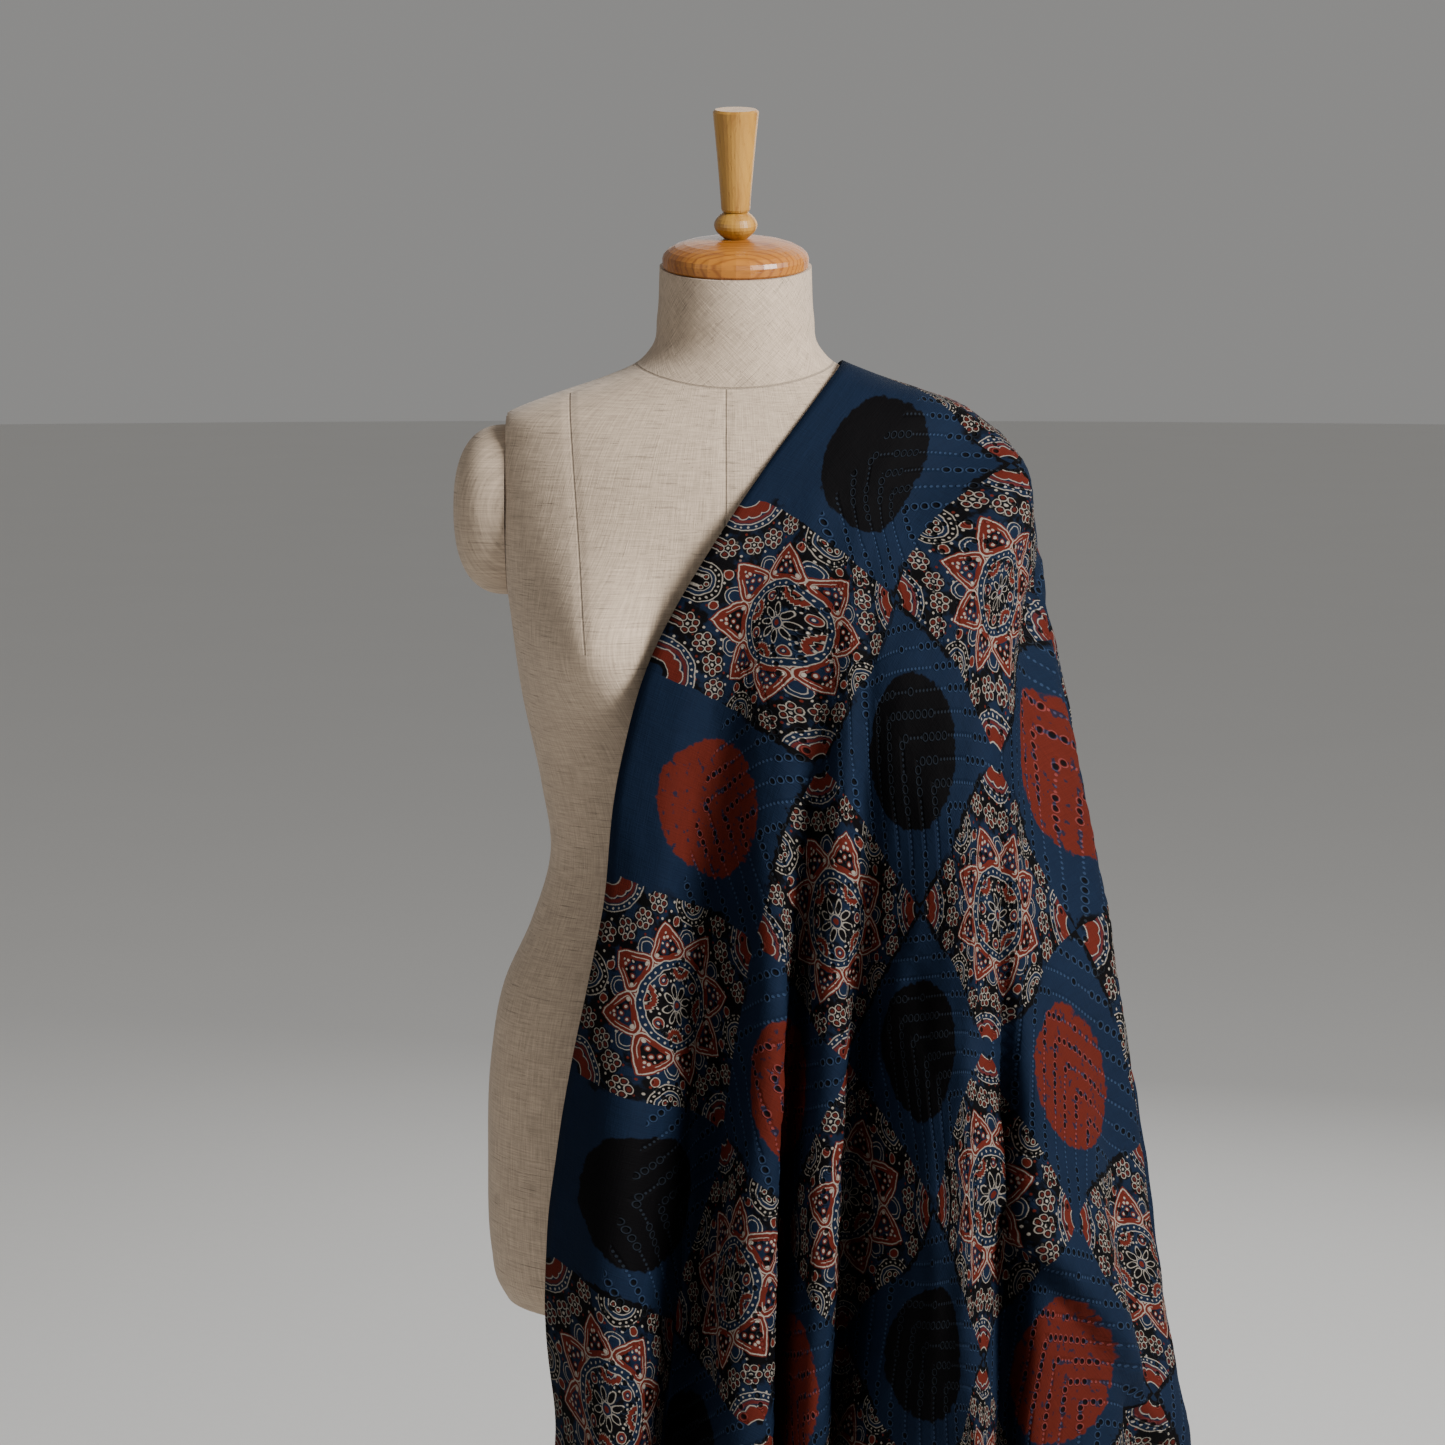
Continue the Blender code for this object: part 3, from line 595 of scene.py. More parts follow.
def linen_material(colour):
    """Natural linen: crossing threads with slubs, on the bias over the neck, and its seams.

    The neck's seam is a parabola that rises to both sides. Seams show at the front only.
    """
    nodes = Nodes("linen")
    place, (x, y, z) = object_place(nodes)
    round_way = nodes.turn(y, x) * TORSO_RADIUS
    neck_way = nodes.turn(y, x) * NECK_RADIUS
    neck_line = z - (x + 0.002) * (x + 0.002) * NECK_SEAM_CURVE - y * NECK_SEAM_TILT - NECK_SEAM
    neck = nodes.step(neck_line, -0.0004, 0.0004)
    across = round_way * (1.0 - neck) + (neck_way + z) * neck
    up = z * (1.0 - neck) + (z - neck_way) * neck
    weft = threads(nodes, across, up, THREAD, 0.020)
    warp = threads(nodes, up, across, THREAD, 0.020)
    slub = nodes.step(threads(nodes, across, up, SLUB, 0.030), 0.62, 0.74)
    slub_up = nodes.step(threads(nodes, up, across, SLUB, 0.030), 0.64, 0.76)
    bias = nodes.step(threads(nodes, up, across, 0.0009, 0.035), 0.61, 0.69) * neck
    fleck = nodes.step(nodes.noise(place, 900.0, 2.0), 0.64, 0.72)
    cloud = nodes.noise(place, 9.0, 3.0)
    weave = weft + warp - 1.0
    front = nodes.inside(y, -0.02, 0.005)
    side_seam = abs(abs(x) - SIDE_SEAM_X - (z - SIDE_SEAM_TOP) * SIDE_SEAM_LEAN)
    side_seam = side_seam + nodes.step(z, SIDE_SEAM_TOP, SIDE_SEAM_TOP - 0.005)
    seam = nodes.smaller(side_seam, abs(x - MIDDLE_SEAM_X)) + (1.0 - front) + neck
    seam = nodes.smaller(seam, abs(neck_line))
    groove = nodes.inside(seam, SEAM_WIDTH, 0.0004)
    pull = nodes.inside(seam, 0.0035, 0.0030)
    tone = 0.92 + weave * 0.85 + cloud * 0.14 - slub * 0.30 + slub_up * 0.20 - fleck * 0.34
    shade = nodes.tone(colour, tone + bias * 0.42)
    height = weave * 0.35 + (slub + bias) * 0.35 + slub_up * 0.25 - groove * 0.8 - pull * 0.6
    return nodes.surface({
        "Base Color": nodes.mix(shade, nodes.tone(shade, 0.76), groove),
        "Normal": nodes.bump(height, 0.0010, 0.8),
        "Roughness": 0.92,
        "Sheen Weight": 0.10,
        "Specular IOR Level": 0.2,
    })


def wood_material(name, colour, upright, roughness):
    """Turned and varnished wood: long grain, broad bands, small pores and year rings.

    The grain runs up an upright piece and across a flat one. A ring is a circle round a line
    beside the piece.
    """
    nodes = Nodes(name)
    place, (x, y, z) = object_place(nodes)
    bend = nodes.noise(place, 18.0, 2.0)
    if upright:
        grain = nodes.vector(x * 70.0 + bend * 1.2, y * 70.0, z * 5.0)
        pores = nodes.vector(x * 600.0, y * 600.0, z * 30.0)
        bands = nodes.vector(x * 25.0 + bend, y * 25.0, z * 2.5)
        reach = nodes.hypot(x + 0.024, y + 0.018)
        pitch, depth = 0.0036, 0.15
    else:
        grain = nodes.vector(x * 9.0, y * 120.0 + bend * 5.0, z * 120.0)
        pores = nodes.vector(x * 40.0, y * 700.0, z * 700.0)
        bands = nodes.vector(x * 5.0, y * 40.0 + bend * 2.0, z * 40.0)
        reach = nodes.hypot(y - 0.010, z - 1.535)
        pitch, depth = 0.0034, 0.60
    line = nodes.noise(grain, 1.0, 4.0, 0.6)
    band = nodes.noise(bands, 1.0, 2.0)
    pore = nodes.step(nodes.noise(pores, 1.0, 1.0), 0.62, 0.72)
    ring = abs(repeat(reach + bend * 0.008, pitch)) / pitch
    dark = tuple(channel * share for channel, share in zip(colour, (0.50, 0.36, 0.22)))
    pale = tuple(min(1.0, channel * share) for channel, share in zip(colour, (1.18, 1.26, 1.35)))
    shade = nodes.paint(
        pale,
        (colour, nodes.step(band, 0.30, 0.60)),
        (dark, nodes.step(line, 0.50, 0.68) * 0.60),
        (dark, nodes.step(ring, 0.26, 0.48) * (0.5 + line) * depth),
        (dark, pore * 0.35),
    )
    return nodes.surface({
        "Base Color": shade,
        "Roughness": roughness + line * 0.12,
        "Normal": nodes.bump(line * 0.3 - pore * 0.4, 0.0003, 0.5),
        "Coat Weight": 0.22,
        "Coat Roughness": 0.20,
    })


def paint_material(colour):
    """Powder-painted metal with a fine orange peel and rubbed, dusty patches."""
    nodes = Nodes("stand_paint")
    place, _ = object_place(nodes)
    peel = nodes.noise(place, 420.0, 2.0)
    rub = nodes.noise(place, 12.0, 4.0, 0.6)
    dust = nodes.step(rub, 0.52, 0.72)
    pale = tuple(channel * 2.4 + 0.012 for channel in colour)
    return nodes.surface({
        "Base Color": nodes.mix(colour, pale, dust * 0.6),
        "Roughness": 0.38 + rub * 0.25,
        "Normal": nodes.bump(peel, 0.0002, 0.4),
    })


def floor_material(colour):
    """Pale studio floor with a barely mottled tone."""
    nodes = Nodes("studio_floor")
    place, _ = object_place(nodes)
    mottle = nodes.noise(place, 1.5, 3.0) + nodes.noise(place, 60.0, 2.0)
    return nodes.surface({
        "Base Color": nodes.tone(colour, 0.97 + mottle * 0.03),
        "Roughness": 0.85,
    })


def repeat(value, pitch):
    """Distance from the middle of the nearest of equal steps."""
    return (value / pitch % 1.0 - 0.5) * pitch


def bead_row(nodes, reach, angle, radius, pitch):
    """Dots at equal angles round a circle."""
    return nodes.dot(nodes.hypot(reach - radius, repeat(angle, pitch) * radius), BEAD)


def six_petals(nodes, place, x, y):
    """Small flower of six outlined petals about a dot. Masks of dark, white and red."""
    size = SMALL_FLOWER
    shift = nodes.add("ShaderNodeVectorMath", {"operation": "SUBTRACT"}, (place, (x, y, 0.0)))
    dx, dy, _ = nodes.parts(shift)
    reach = nodes.hypot(dx, dy)
    folded = repeat(nodes.turn(dy, dx), math.pi / 3)
    along = reach * nodes.maths("COSINE", folded)
    aside = reach * nodes.maths("SINE", folded)
    petal = nodes.distance(nodes.vector(along, aside), (0.64 * size, 0.0))
    white = nodes.larger(nodes.fine_line(petal, 0.30 * size), nodes.dot(reach, 0.13 * size))
    return nodes.inside(reach, 1.05 * size), white, nodes.inside(petal, 0.17 * size)


def ajrakh_square(nodes, p, q, sprinkle, patch, dyes):
    """Colour of a printed square from the place in it, -0.5 to 0.5 each way.

    The place is folded into one eighth of the square, so each part is drawn once. From the
    middle out: flower, buds, beaded ring, eight pointed petals, small flowers, beaded half
    rounds on the sides and beaded quarter rounds in the corners.
    """
    blue, black, red, white = dyes
    size_p, size_q = abs(p), abs(q)
    m, n = nodes.larger(size_p, size_q), nodes.smaller(size_p, size_q)
    place = nodes.vector(m, n)
    reach = nodes.hypot(m, n)
    angle = nodes.turn(n, m)
    ground = nodes.mix(blue, black, patch)
    spot, kind = sprinkle
    shade = nodes.mix(ground, nodes.mix(white, red, nodes.step(kind, 0.45, 0.50)),
                      nodes.inside(spot, 0.12, 0.04))
    for x, y in ((0.353, 0.274), (0.457, 0.214)):
        dark, pale, centre = six_petals(nodes, place, x, y)
        shade = nodes.paint(shade, (black, dark * 0.8), (red, centre * 0.7), (white, pale))

    # Berries and half rounds between the petals
    berry = nodes.distance(place, (0.392, 0.085))
    between = nodes.distance(place, (0.315, 0.0), (0.225, 0.225))
    shade = nodes.paint(
        shade,
        (red, nodes.inside(berry, 0.021)),
        (white, nodes.fine_line(berry, 0.022)),
        (blue, nodes.inside(between, 0.050)),
        (white, nodes.fine_line(between, 0.050, 0.032)),
    )

    # Side half rounds
    side = nodes.distance(place, (0.5, 0.0))
    leaf = nodes.distance(place, (0.466, 0.0), (0.484, 0.030))
    shade = nodes.paint(
        shade,
        (black, nodes.inside(side, 0.108)),
        (white, bead_row(nodes, side, nodes.turn(n, 0.5 - m), 0.091, math.pi / 10)),
        (blue, nodes.inside(side, 0.074)),
        (white, nodes.larger(nodes.line(side, 0.107, 0.074), nodes.fine_line(side, 0.055))),
        (black, nodes.inside(side, 0.051)),
        (white, nodes.fine_line(leaf, 0.012)),
        (red, nodes.inside(leaf, 0.006)),
    )

    # Corner quarter rounds
    corner = nodes.distance(place, (0.5, 0.5))
    turn = nodes.turn(0.5 - n, 0.5 - m)
    bud = nodes.smaller(nodes.distance(place, (0.440, 0.440)) - 0.036,
                        nodes.distance(place, (0.478, 0.411)) - 0.032)
    shade = nodes.paint(
        shade,
        (blue, nodes.inside(corner, 0.184)),
        (red, nodes.inside(abs(corner - 0.138), 0.008) * 0.8),
        (white, nodes.larger(nodes.line(corner, 0.184, 0.153),
                             bead_row(nodes, corner, turn, 0.169, math.pi / 16))),
        (red, nodes.inside(bud, 0.0)),
        (white, nodes.line(bud, 0.004)),
        (ground, nodes.inside(corner, 0.062)),
        (white, nodes.line(corner, 0.060)),
        (blue, nodes.inside(corner, 0.036)),
    )

    # Petals on a line half way between side and corner
    cosine, sine = math.cos(math.pi / 8), math.sin(math.pi / 8)
    out = m * cosine + n * sine
    aside = abs(n * cosine - m * sine)
    petal = nodes.vector(out, aside)
    base = nodes.hypot(nodes.larger(0.258 - out, 0.0), nodes.larger(aside - 0.060, 0.0))
    depth = nodes.smaller(0.35 - nodes.distance(petal, (0.137, -0.225)), 0.045 - base)
    curl = nodes.fine_line(depth, 0.022) * nodes.step(aside, 0.036, 0.042)
    heart = nodes.distance(petal, (0.296, 0.0), (0.334, 0.010), (0.270, 0.030))
    spray = nodes.distance(petal, (0.312, 0.026), (0.356, 0.0))
    shade = nodes.paint(
        shade,
        (white, nodes.inside(reach, 0.244)),
        (red, nodes.step(depth, -0.008, -0.005)),
        (white, nodes.step(depth, -0.002, 0.001)),
        (red, nodes.step(depth, 0.004, 0.007)),
        (ground, nodes.step(depth, 0.034, 0.037)),
        (white, nodes.larger(curl, nodes.inside(nodes.distance(petal, (0.250, 0.066)), 0.0105))),
        (red, nodes.inside(heart, 0.014)),
        (white, nodes.dot(heart, 0.0075)),
        (white, nodes.dot(spray, BEAD)),
    )

    # Beaded ring and what it holds
    held = nodes.inside(reach, 0.180, 0.001)
    lotus = nodes.distance(place, (0.182, 0.0)) + abs(repeat(angle, 0.13)) * 0.14
    bud = nodes.distance(place, (0.102, 0.102))
    spray = nodes.distance(petal, (0.158, 0.0), (0.120, 0.012))
    leaf = nodes.hypot((out - 0.066) / 2.1, aside)
    return nodes.paint(
        shade,
        (blue, nodes.inside(reach, 0.222)),
        (white, bead_row(nodes, reach, angle, 0.201, math.pi / 16)),
        (ground, nodes.inside(reach, 0.182)),
        (white, nodes.line(reach, 0.221, 0.182)),
        (red, nodes.inside(lotus, 0.066) * held),
        (white, nodes.fine_line(lotus, 0.066) * held),
        (ground, nodes.inside(lotus, 0.040) * held),
        (white, nodes.fine_line(lotus, 0.034) * held),
        (red, nodes.inside(lotus, 0.020) * held),
        (red, nodes.inside(bud, 0.027)),
        (white, nodes.fine_line(bud, 0.027)),
        (blue, nodes.inside(bud, 0.014)),
        (white, nodes.dot(nodes.smaller(spray, bud), 0.006)),
        (black, nodes.inside(leaf, 0.017)),
        (white, nodes.fine_line(leaf, 0.016)),
        (blue, nodes.inside(reach, 0.032)),
        (white, nodes.fine_line(reach, 0.029)),
        (red, nodes.inside(reach, 0.015)),
    )


def eyelet_work(nodes, along, across):
    """Masks of the embroidery: thread, holes and the puckered strip along each row.

    The rows run along the squares' diagonals as nested corners. Each row has a run of
    eyelets near its corner and small stitches further out.
    """
    cell = EYELET_CELL
    right = (across - along) * math.sqrt(0.5)
    down = (across + along) * math.sqrt(0.5)
    column, row = math.floor(right / cell), math.floor(down / cell)
    flip = (column + row) % 2.0
    h = abs(flip - right / cell % 1.0)
    v = abs(flip - down / cell % 1.0)
    outer, inner = nodes.larger(h, v), nodes.smaller(h, v)
    off = repeat(outer * cell, cell / EYELET_ROWS)
    stitch = nodes.hypot(off, repeat(inner * cell, STITCH_PITCH))
    step_off = repeat(inner * cell, EYELET_PITCH)
    eyelet = nodes.hypot(off, step_off)
    from_corner = (outer - inner) * cell - off + step_off
    near = nodes.inside(from_corner % EYELET_PERIOD, EYELET_RUN, LINE_SOFT)
    sewn = nodes.step(across, PLAIN_EDGE, PLAIN_EDGE + 0.01)
    hole = nodes.inside(eyelet, EYELET_HOLE, EYELET_SOFT) * near
    rim = nodes.ring(eyelet, EYELET_HOLE * 1.55, EYELET_HOLE * 0.55, EYELET_SOFT) * near
    dots = nodes.dot(stitch, STITCH_SIZE) * (1.0 - near)
    strip = nodes.inside(abs(off), 0.012, 0.010)
    return nodes.larger(dots * sewn, rim * sewn), hole * sewn, strip * sewn


def cloth_material(sizes):
    """Block print, embroidery and weave, from the flat place of the cloth in its UV map."""
    nodes = Nodes("ajrakh_print")
    uv = nodes.add("ShaderNodeUVMap", {"uv_map": "flat"}, {})
    u, v, _ = nodes.parts(uv)
    across = u * UV_SPAN
    along = (v - 0.5) * UV_SPAN
    flat = nodes.vector(across, along)
    dyes = [tuple(colour) for colour in (sizes.indigo, sizes.black, sizes.madder, sizes.resist)]
    blue, black, red, white = dyes

    # Hand printing: places wander a little, and the dye is uneven
    wander = nodes.add("ShaderNodeTexNoise", {}, {"Vector": flat, "Scale": 13.0, "Detail": 3.0}, 1)
    wander_x, wander_y, _ = nodes.parts(wander)
    printed_across = nodes.larger(across + (wander_x - 0.5) * WANDER, 0.004)
    printed_along = along + (wander_y - 0.5) * WANDER
    i, j = math.floor(printed_along), math.floor(printed_across)
    p, q = printed_along - i - 0.5, printed_across - j - 0.5
    fine = nodes.noise(flat, 26.0, 3.0)
    cloud = nodes.noise(flat, 2.3, 4.0, 0.6)
    patch = nodes.step(nodes.noise(flat, 5.5, 3.0) + (fine - 0.5) * 0.35, 0.42, 0.54)
    spot = nodes.cells(flat, 19.0, 0.75, "Distance")
    kind = nodes.parts(nodes.cells(flat, 19.0, 0.75, "Color"))[0]
    print_colour = ajrakh_square(nodes, p, q, (spot, kind), patch, dyes)

    # Plain squares with their round, and a stray black line at some edges
    thread, hole, strip = eyelet_work(nodes, along, across)
    edge = nodes.larger(abs(p), abs(q)) + (fine - 0.5) * 0.08
    streak = nodes.noise(nodes.vector(across * 6.0, along * 0.8), 3.0, 4.0, 0.6)
    stray = nodes.step(edge, 0.470, 0.482) * nodes.step(nodes.noise(flat, 1.7, 1.0), 0.50, 0.56)
    centre = nodes.hypot(p, q) + (nodes.noise(flat, 5.0, 4.0, 0.62) + fine - 1.0) * 0.055
    missed = nodes.step(fine + strip * 0.11, 0.60, 0.66) * 0.85
    round_dye = nodes.mix(black, nodes.mix(red, blue, missed), (i - j) * 0.5 % 2.0)
    odd = (i + j) % 2.0
    colour = nodes.paint(
        nodes.tone(blue, 0.78 + (cloud + streak) * 0.30),
        (black, stray * nodes.step(across, 0.10, 0.14)),
        (round_dye, nodes.inside(centre, 0.340, 0.006)),
        (print_colour, nodes.step(odd, 0.4, 0.6)),
    )

    # Embroidery over everything, with painted shade, near black, in the eyelet holes
    light = nodes.tone(nodes.mix(colour, THREAD_TINT, 0.10), 2.1)
    colour = nodes.paint(colour, (light, thread * (1.0 - odd * 0.6)), (HOLE_SHADE, hole * 0.95))

    # Weave
    warp = nodes.noise(nodes.vector(across * 160.0, along * 9.0), 1.0, 2.0)
    weft = nodes.noise(nodes.vector(across * 9.0, along * 160.0), 1.0, 2.0)
    weave = warp + weft - 1.0
    crinkle = nodes.noise(flat, 14.0, 3.0, 0.55) * 0.5 + nodes.noise(flat, 4.0, 2.0) * 0.8
    height = weave * 0.12 + crinkle * 0.45 + thread * 0.35 - hole * 0.6 - strip * 0.30
    return nodes.surface({
        "Base Color": nodes.tone(colour, 0.94 + cloud * 0.12 + weave * 0.35),
        "Normal": nodes.bump(height, 0.0022, 0.9),
        "Roughness": 0.78 + weave * 0.1,
        "Specular IOR Level": 0.05,
    })


def smooth_through(places, values, wanted):
    """Cubic curve through the values at the places, with its slopes from the neighbours."""
    places = np.asarray(places, float)
    values = np.asarray(values, float)
    slopes = np.gradient(values, places, axis=0)
    index = np.clip(np.searchsorted(places, wanted, side="right") - 1, 0, len(places) - 2)
    span = places[index + 1] - places[index]
    part = (wanted - places[index]) / span
    if values.ndim > 1:
        span = span[:, None]
        part = part[:, None]
    square, cube = part**2, part**3
    return (
        (2 * cube - 3 * square + 1) * values[index]
        + (cube - 2 * square + part) * span * slopes[index]
        + (3 * square - 2 * cube) * values[index + 1]
        + (cube - square) * span * slopes[index + 1]
    )


def travelled(points):
    """Distance travelled along a row of points, from 0 at the first."""
    return np.concatenate(([0], np.cumsum(np.linalg.norm(np.diff(points, axis=0), axis=1))))


def torso_section(height):
    """Half width, front, back and squareness of the torso at each height."""
    table = np.array(TORSO_SECTIONS)
    height = np.clip(height, table[0, 0], table[-1, 0])
    return [smooth_through(table[:, 0], table[:, column], height) for column in range(1, 5)]


def bust_rise(x, height):
    """How far the bust stands forward of the plain section: a round hill on each side."""
    side = (np.abs(x) - BUST_SIDE) / BUST_WIDTH
    drop = (height - BUST_HEIGHT) / BUST_DROP
    return BUST_RISE * np.exp(-(side**2) - drop**2)


def from_level(level, points):
    """Distance and outward direction from a function that is 0 on a surface.

    The distance is the function's value over the length of its slope.
    """
    value = level(points)
    slope = np.empty_like(points)
    for axis in range(3):
        shift = np.zeros(3)
        shift[axis] = SLOPE_STEP
        slope[:, axis] = (level(points + shift) - level(points - shift)) / (2 * SLOPE_STEP)
    size = np.linalg.norm(slope, axis=1) + 1e-9
    return value / size, slope / size[:, None]


def torso_distance(points):
    """Rough distance of points from the torso, negative inside it."""
    def level(p):
        half, front, back, squareness = torso_section(p[:, 2])
        x = np.abs(p[:, 0]) / half
        rise = bust_rise(p[:, 0], p[:, 2]) * np.clip(-2 * p[:, 1] / front, 0, 1)
        y = p[:, 1] + rise
        y = np.abs(y) / np.where(p[:, 1] < 0, front, back)
        return (x**squareness + y**squareness) ** (1 / squareness) - 1
    return from_level(level, points)


def arm_distance(points):
    """Rough distance of points from the left arm cap, negative inside it."""
    def level(p):
        out = np.maximum(p[:, 0] - ARMHOLE_X, 0) / ARM_REACH
        up = np.abs(p[:, 2] - ARM_HEIGHT) / ARM_HALF_HEIGHT
        across = np.abs(p[:, 1]) / ARM_HALF_DEPTH
        round_part = (up**2 + across**2) ** (ARM_ROUNDNESS / 2)
        return (out**ARM_ROUNDNESS + round_part) ** (1 / ARM_ROUNDNESS) - 1
    return from_level(level, points)


def push_clear(points, clearance):
    """Moves points outwards until they clear the torso and the arm cap."""
    points = points.copy()
    for _ in range(PUSH_ROUNDS):
        for measure in (torso_distance, arm_distance):
            distance, outward = measure(points)
            short = np.clip(clearance - distance, 0, PUSH_LIMIT)
            points += outward * short[:, None]
    return points


def ridge_place(squares, square):
    """Place and direction on the shoulder line, at squares of cloth from the neck."""
    last = len(RIDGE) - 1
    line = smooth_through(np.arange(last + 1), RIDGE, np.linspace(0, last, RIDGE_SAMPLES))
    x, z = line.T
    run = travelled(line)
    run -= np.interp(RIDGE_START_X, x, run)
    here, there = (np.array([np.interp(travel, run, x), 0, np.interp(travel, run, z)])
                   for travel in (squares * square, squares * square + RIDGE_STEP))
    return here, (there - here) / np.linalg.norm(there - here)


def fold_path(start, lean, places, front, square):
    """A fold line as points at equal steps of cloth, from the shoulder to past the hem."""
    here, along = ridge_place(start, square)
    away = np.array([0, -1.0 if front else 1.0, 0])
    leave = math.cos(lean) * away + math.sin(lean) * along
    knots = [here, here + leave * LEAVE_REACH]
    knots += [(*place, height) for place, height in zip(places, FOLD_HEIGHTS) if place]
    knots = np.array(knots)
    reach = travelled(knots)
    fine = smooth_through(reach, knots, np.linspace(0, reach[-1], 3 * PATH_SAMPLES))
    fine = push_clear(fine, PATH_CLEARANCE)
    run = travelled(fine)
    wanted = np.linspace(0, PATH_REACH, PATH_SAMPLES)
    path = np.column_stack([np.interp(wanted, run, fine[:, axis]) for axis in range(3)])
    fall = (knots[-1] - knots[-2]) / np.linalg.norm(knots[-1] - knots[-2])
    path += np.maximum(wanted - run[-1], 0)[:, None] * fall
    return path


def cloth_lines(square):
    """Starts, leans and paths of all fold lines, front edge to side line to back edge."""
    starts, leans, paths = [], [], []
    for start, lean, *places in FRONT_LINES:
        starts.append(start)
        leans.append(math.radians(lean))
        paths.append(fold_path(start, leans[-1], places, True, square))
    for (start, lean, *_), places in reversed(list(zip(FRONT_LINES, BACK_LINES))):
        starts.append(start)
        leans.append(math.pi - math.radians(lean))
        paths.append(fold_path(start, math.radians(lean), places, False, square))
    return np.array(starts), np.array(leans), np.array(paths)


def line_weights(position, last):
    """Nearest four lines of each position and their weights on a smooth curve."""
    index = np.clip(np.floor(position).astype(int), 0, last - 1)
    part = position - index
    weights = (
        -0.5 * part + part**2 - 0.5 * part**3,
        1 - 2.5 * part**2 + 1.5 * part**3,
        0.5 * part + 2 * part**2 - 1.5 * part**3,
        -0.5 * part**2 + 0.5 * part**3,
    )
    return [np.clip(index + offset, 0, last) for offset in (-1, 0, 1, 2)], weights


def between_lines(values, position):
    """Values between the fold lines, by a smooth curve through the nearest four."""
    near, weights = line_weights(position, len(values) - 1)
    return sum(values[line] * weight for line, weight in zip(near, weights))


def fold_position(along, across, starts, leans):
    """Place of each point of the flat cloth among the fold lines.

    A point lies on the line from which its sideways distance is 0. That distance falls
    steadily from the first line to the last, so the interval is halved until it is small.
    """
    low = np.zeros_like(along)
    high = np.full_like(along, len(starts) - 1.0)
    for _ in range(HALVINGS):
        middle = (low + high) / 2
        start = between_lines(starts, middle)
        lean = between_lines(leans, middle)
        beyond = (across - start) * np.cos(lean) - along * np.sin(lean) > 1e-9
        low = np.where(beyond, middle, low)
        high = np.where(beyond, high, middle)
    return (low + high) / 2


def on_lines(paths, position, travel):
    """Points at a travel down the fold lines, between the lines and between their samples."""
    near, weights = line_weights(position, len(paths) - 1)
    sample = np.clip(travel / PATH_REACH * (PATH_SAMPLES - 1), 0, PATH_SAMPLES - 1.001)
    before = sample.astype(int)
    part = (sample - before)[:, None]
    total = 0
    for line, weight in zip(near, weights):
        place = paths[line, before] * (1 - part) + paths[line, before + 1] * part
        total = total + place * weight[:, None]
    return total


def draped_sheet(sizes):
    """Middle surface of the cloth on its own flat grid of squares, and those flat places.

    Each flat place, along and across, lies on one fold line. Its point in space is that
    line's point after the same travel from the shoulder.
    """
    square = sizes.width / sizes.squares
    half_length = sizes.length / 2 / square
    columns = round(sizes.length / sizes.step)
    rows = round(sizes.width / sizes.step)
    along, across = np.meshgrid(
        np.linspace(half_length, -half_length, columns + 1),
        np.linspace(0, sizes.squares, rows + 1), indexing="ij")
    shape = along.shape
    along, across = along.ravel(), across.ravel()
    starts, leans, paths = cloth_lines(square)
    position = fold_position(along, across, starts, leans)
    start = between_lines(starts, position)
    lean = between_lines(leans, position)
    travel = (across - start) * np.sin(lean) + along * np.cos(lean)
    points = on_lines(paths, position, np.maximum(travel, 0) * square)
    drop = points[:, 2].max() - (CAD_CLOTH[1][2] - sizes.thickness)
    points[:, 2] -= max(drop, 0.0)
    points = push_clear(points, sizes.clearance).reshape(shape + (3,))
    along, across = along.reshape(shape), across.reshape(shape)
    away = outward(points)
    away *= np.sign((away[..., :2] * points[..., :2]).sum(axis=-1).mean())
    points = points + away * small_relief(along, across, sizes.squares)[..., None]
    return push_clear(points.reshape(-1, 3), sizes.clearance).reshape(shape + (3,)), along, across


def crease_share(along, across, ends):
    """Signed distance from a crease's line, and a share that fades out past its ends."""
    start, end = np.array(ends[:2]), np.array(ends[2:])
    length = np.linalg.norm(end - start)
    direction = (end - start) / length
    run = (along - start[0]) * direction[0] + (across - start[1]) * direction[1]
    off = (across - start[1]) * direction[0] - (along - start[0]) * direction[1]
    beyond = np.maximum(np.maximum(-run, run - length), 0)
    return off, np.exp(-((beyond / (0.35 * length)) ** 2))


def small_relief(along, across, squares):
    """Height over the draped sheet: creases, fold edges, crinkle and a waving edge.

    A crease is a bell across its line. A fold edge is a bell with one steep side. Crinkle is
    a sum of crossed waves, and the edge wave fades within half a square of a selvedge.
    """
    relief = np.zeros_like(along)
    for *ends, width, height in CREASES:
        off, share = crease_share(along, across, ends)
        relief += height * share * np.exp(-((off / width) ** 2))
    for *ends, steep, gentle, height in FOLD_EDGES:
        off, share = crease_share(along, across, ends)
        width = np.where(off * steep > 0, abs(steep), gentle)
        relief += height * share * np.exp(-((off / width) ** 2))
    sewn = np.clip((across - 0.3) / 0.4, 0, 1)
    waves = (
        np.sin(9.7 * along + 2.1 * np.sin(3.1 * across)) * np.sin(8.3 * across + 1.7)
        + 0.8 * np.sin(15.1 * along + 6.0 * across + 1.3 * np.sin(5.0 * across))
        + 0.7 * np.sin(21.0 * across - 9.0 * along + 0.6)
    )
    relief += CRINKLE * waves * (0.35 + 0.65 * sewn)
    near_edge = np.exp(-across / 0.25) + np.exp(-(squares - across) / 0.25)
    return relief + EDGE_WAVE * near_edge * np.sin(5.3 * along + 1.1 * np.sin(2.2 * along))


def outward(points):
    """Unit normals of a grid of points, from its two directions."""
    normal = np.cross(np.gradient(points, axis=0), np.gradient(points, axis=1))
    return normal / np.maximum(np.linalg.norm(normal, axis=-1, keepdims=True), 1e-9)


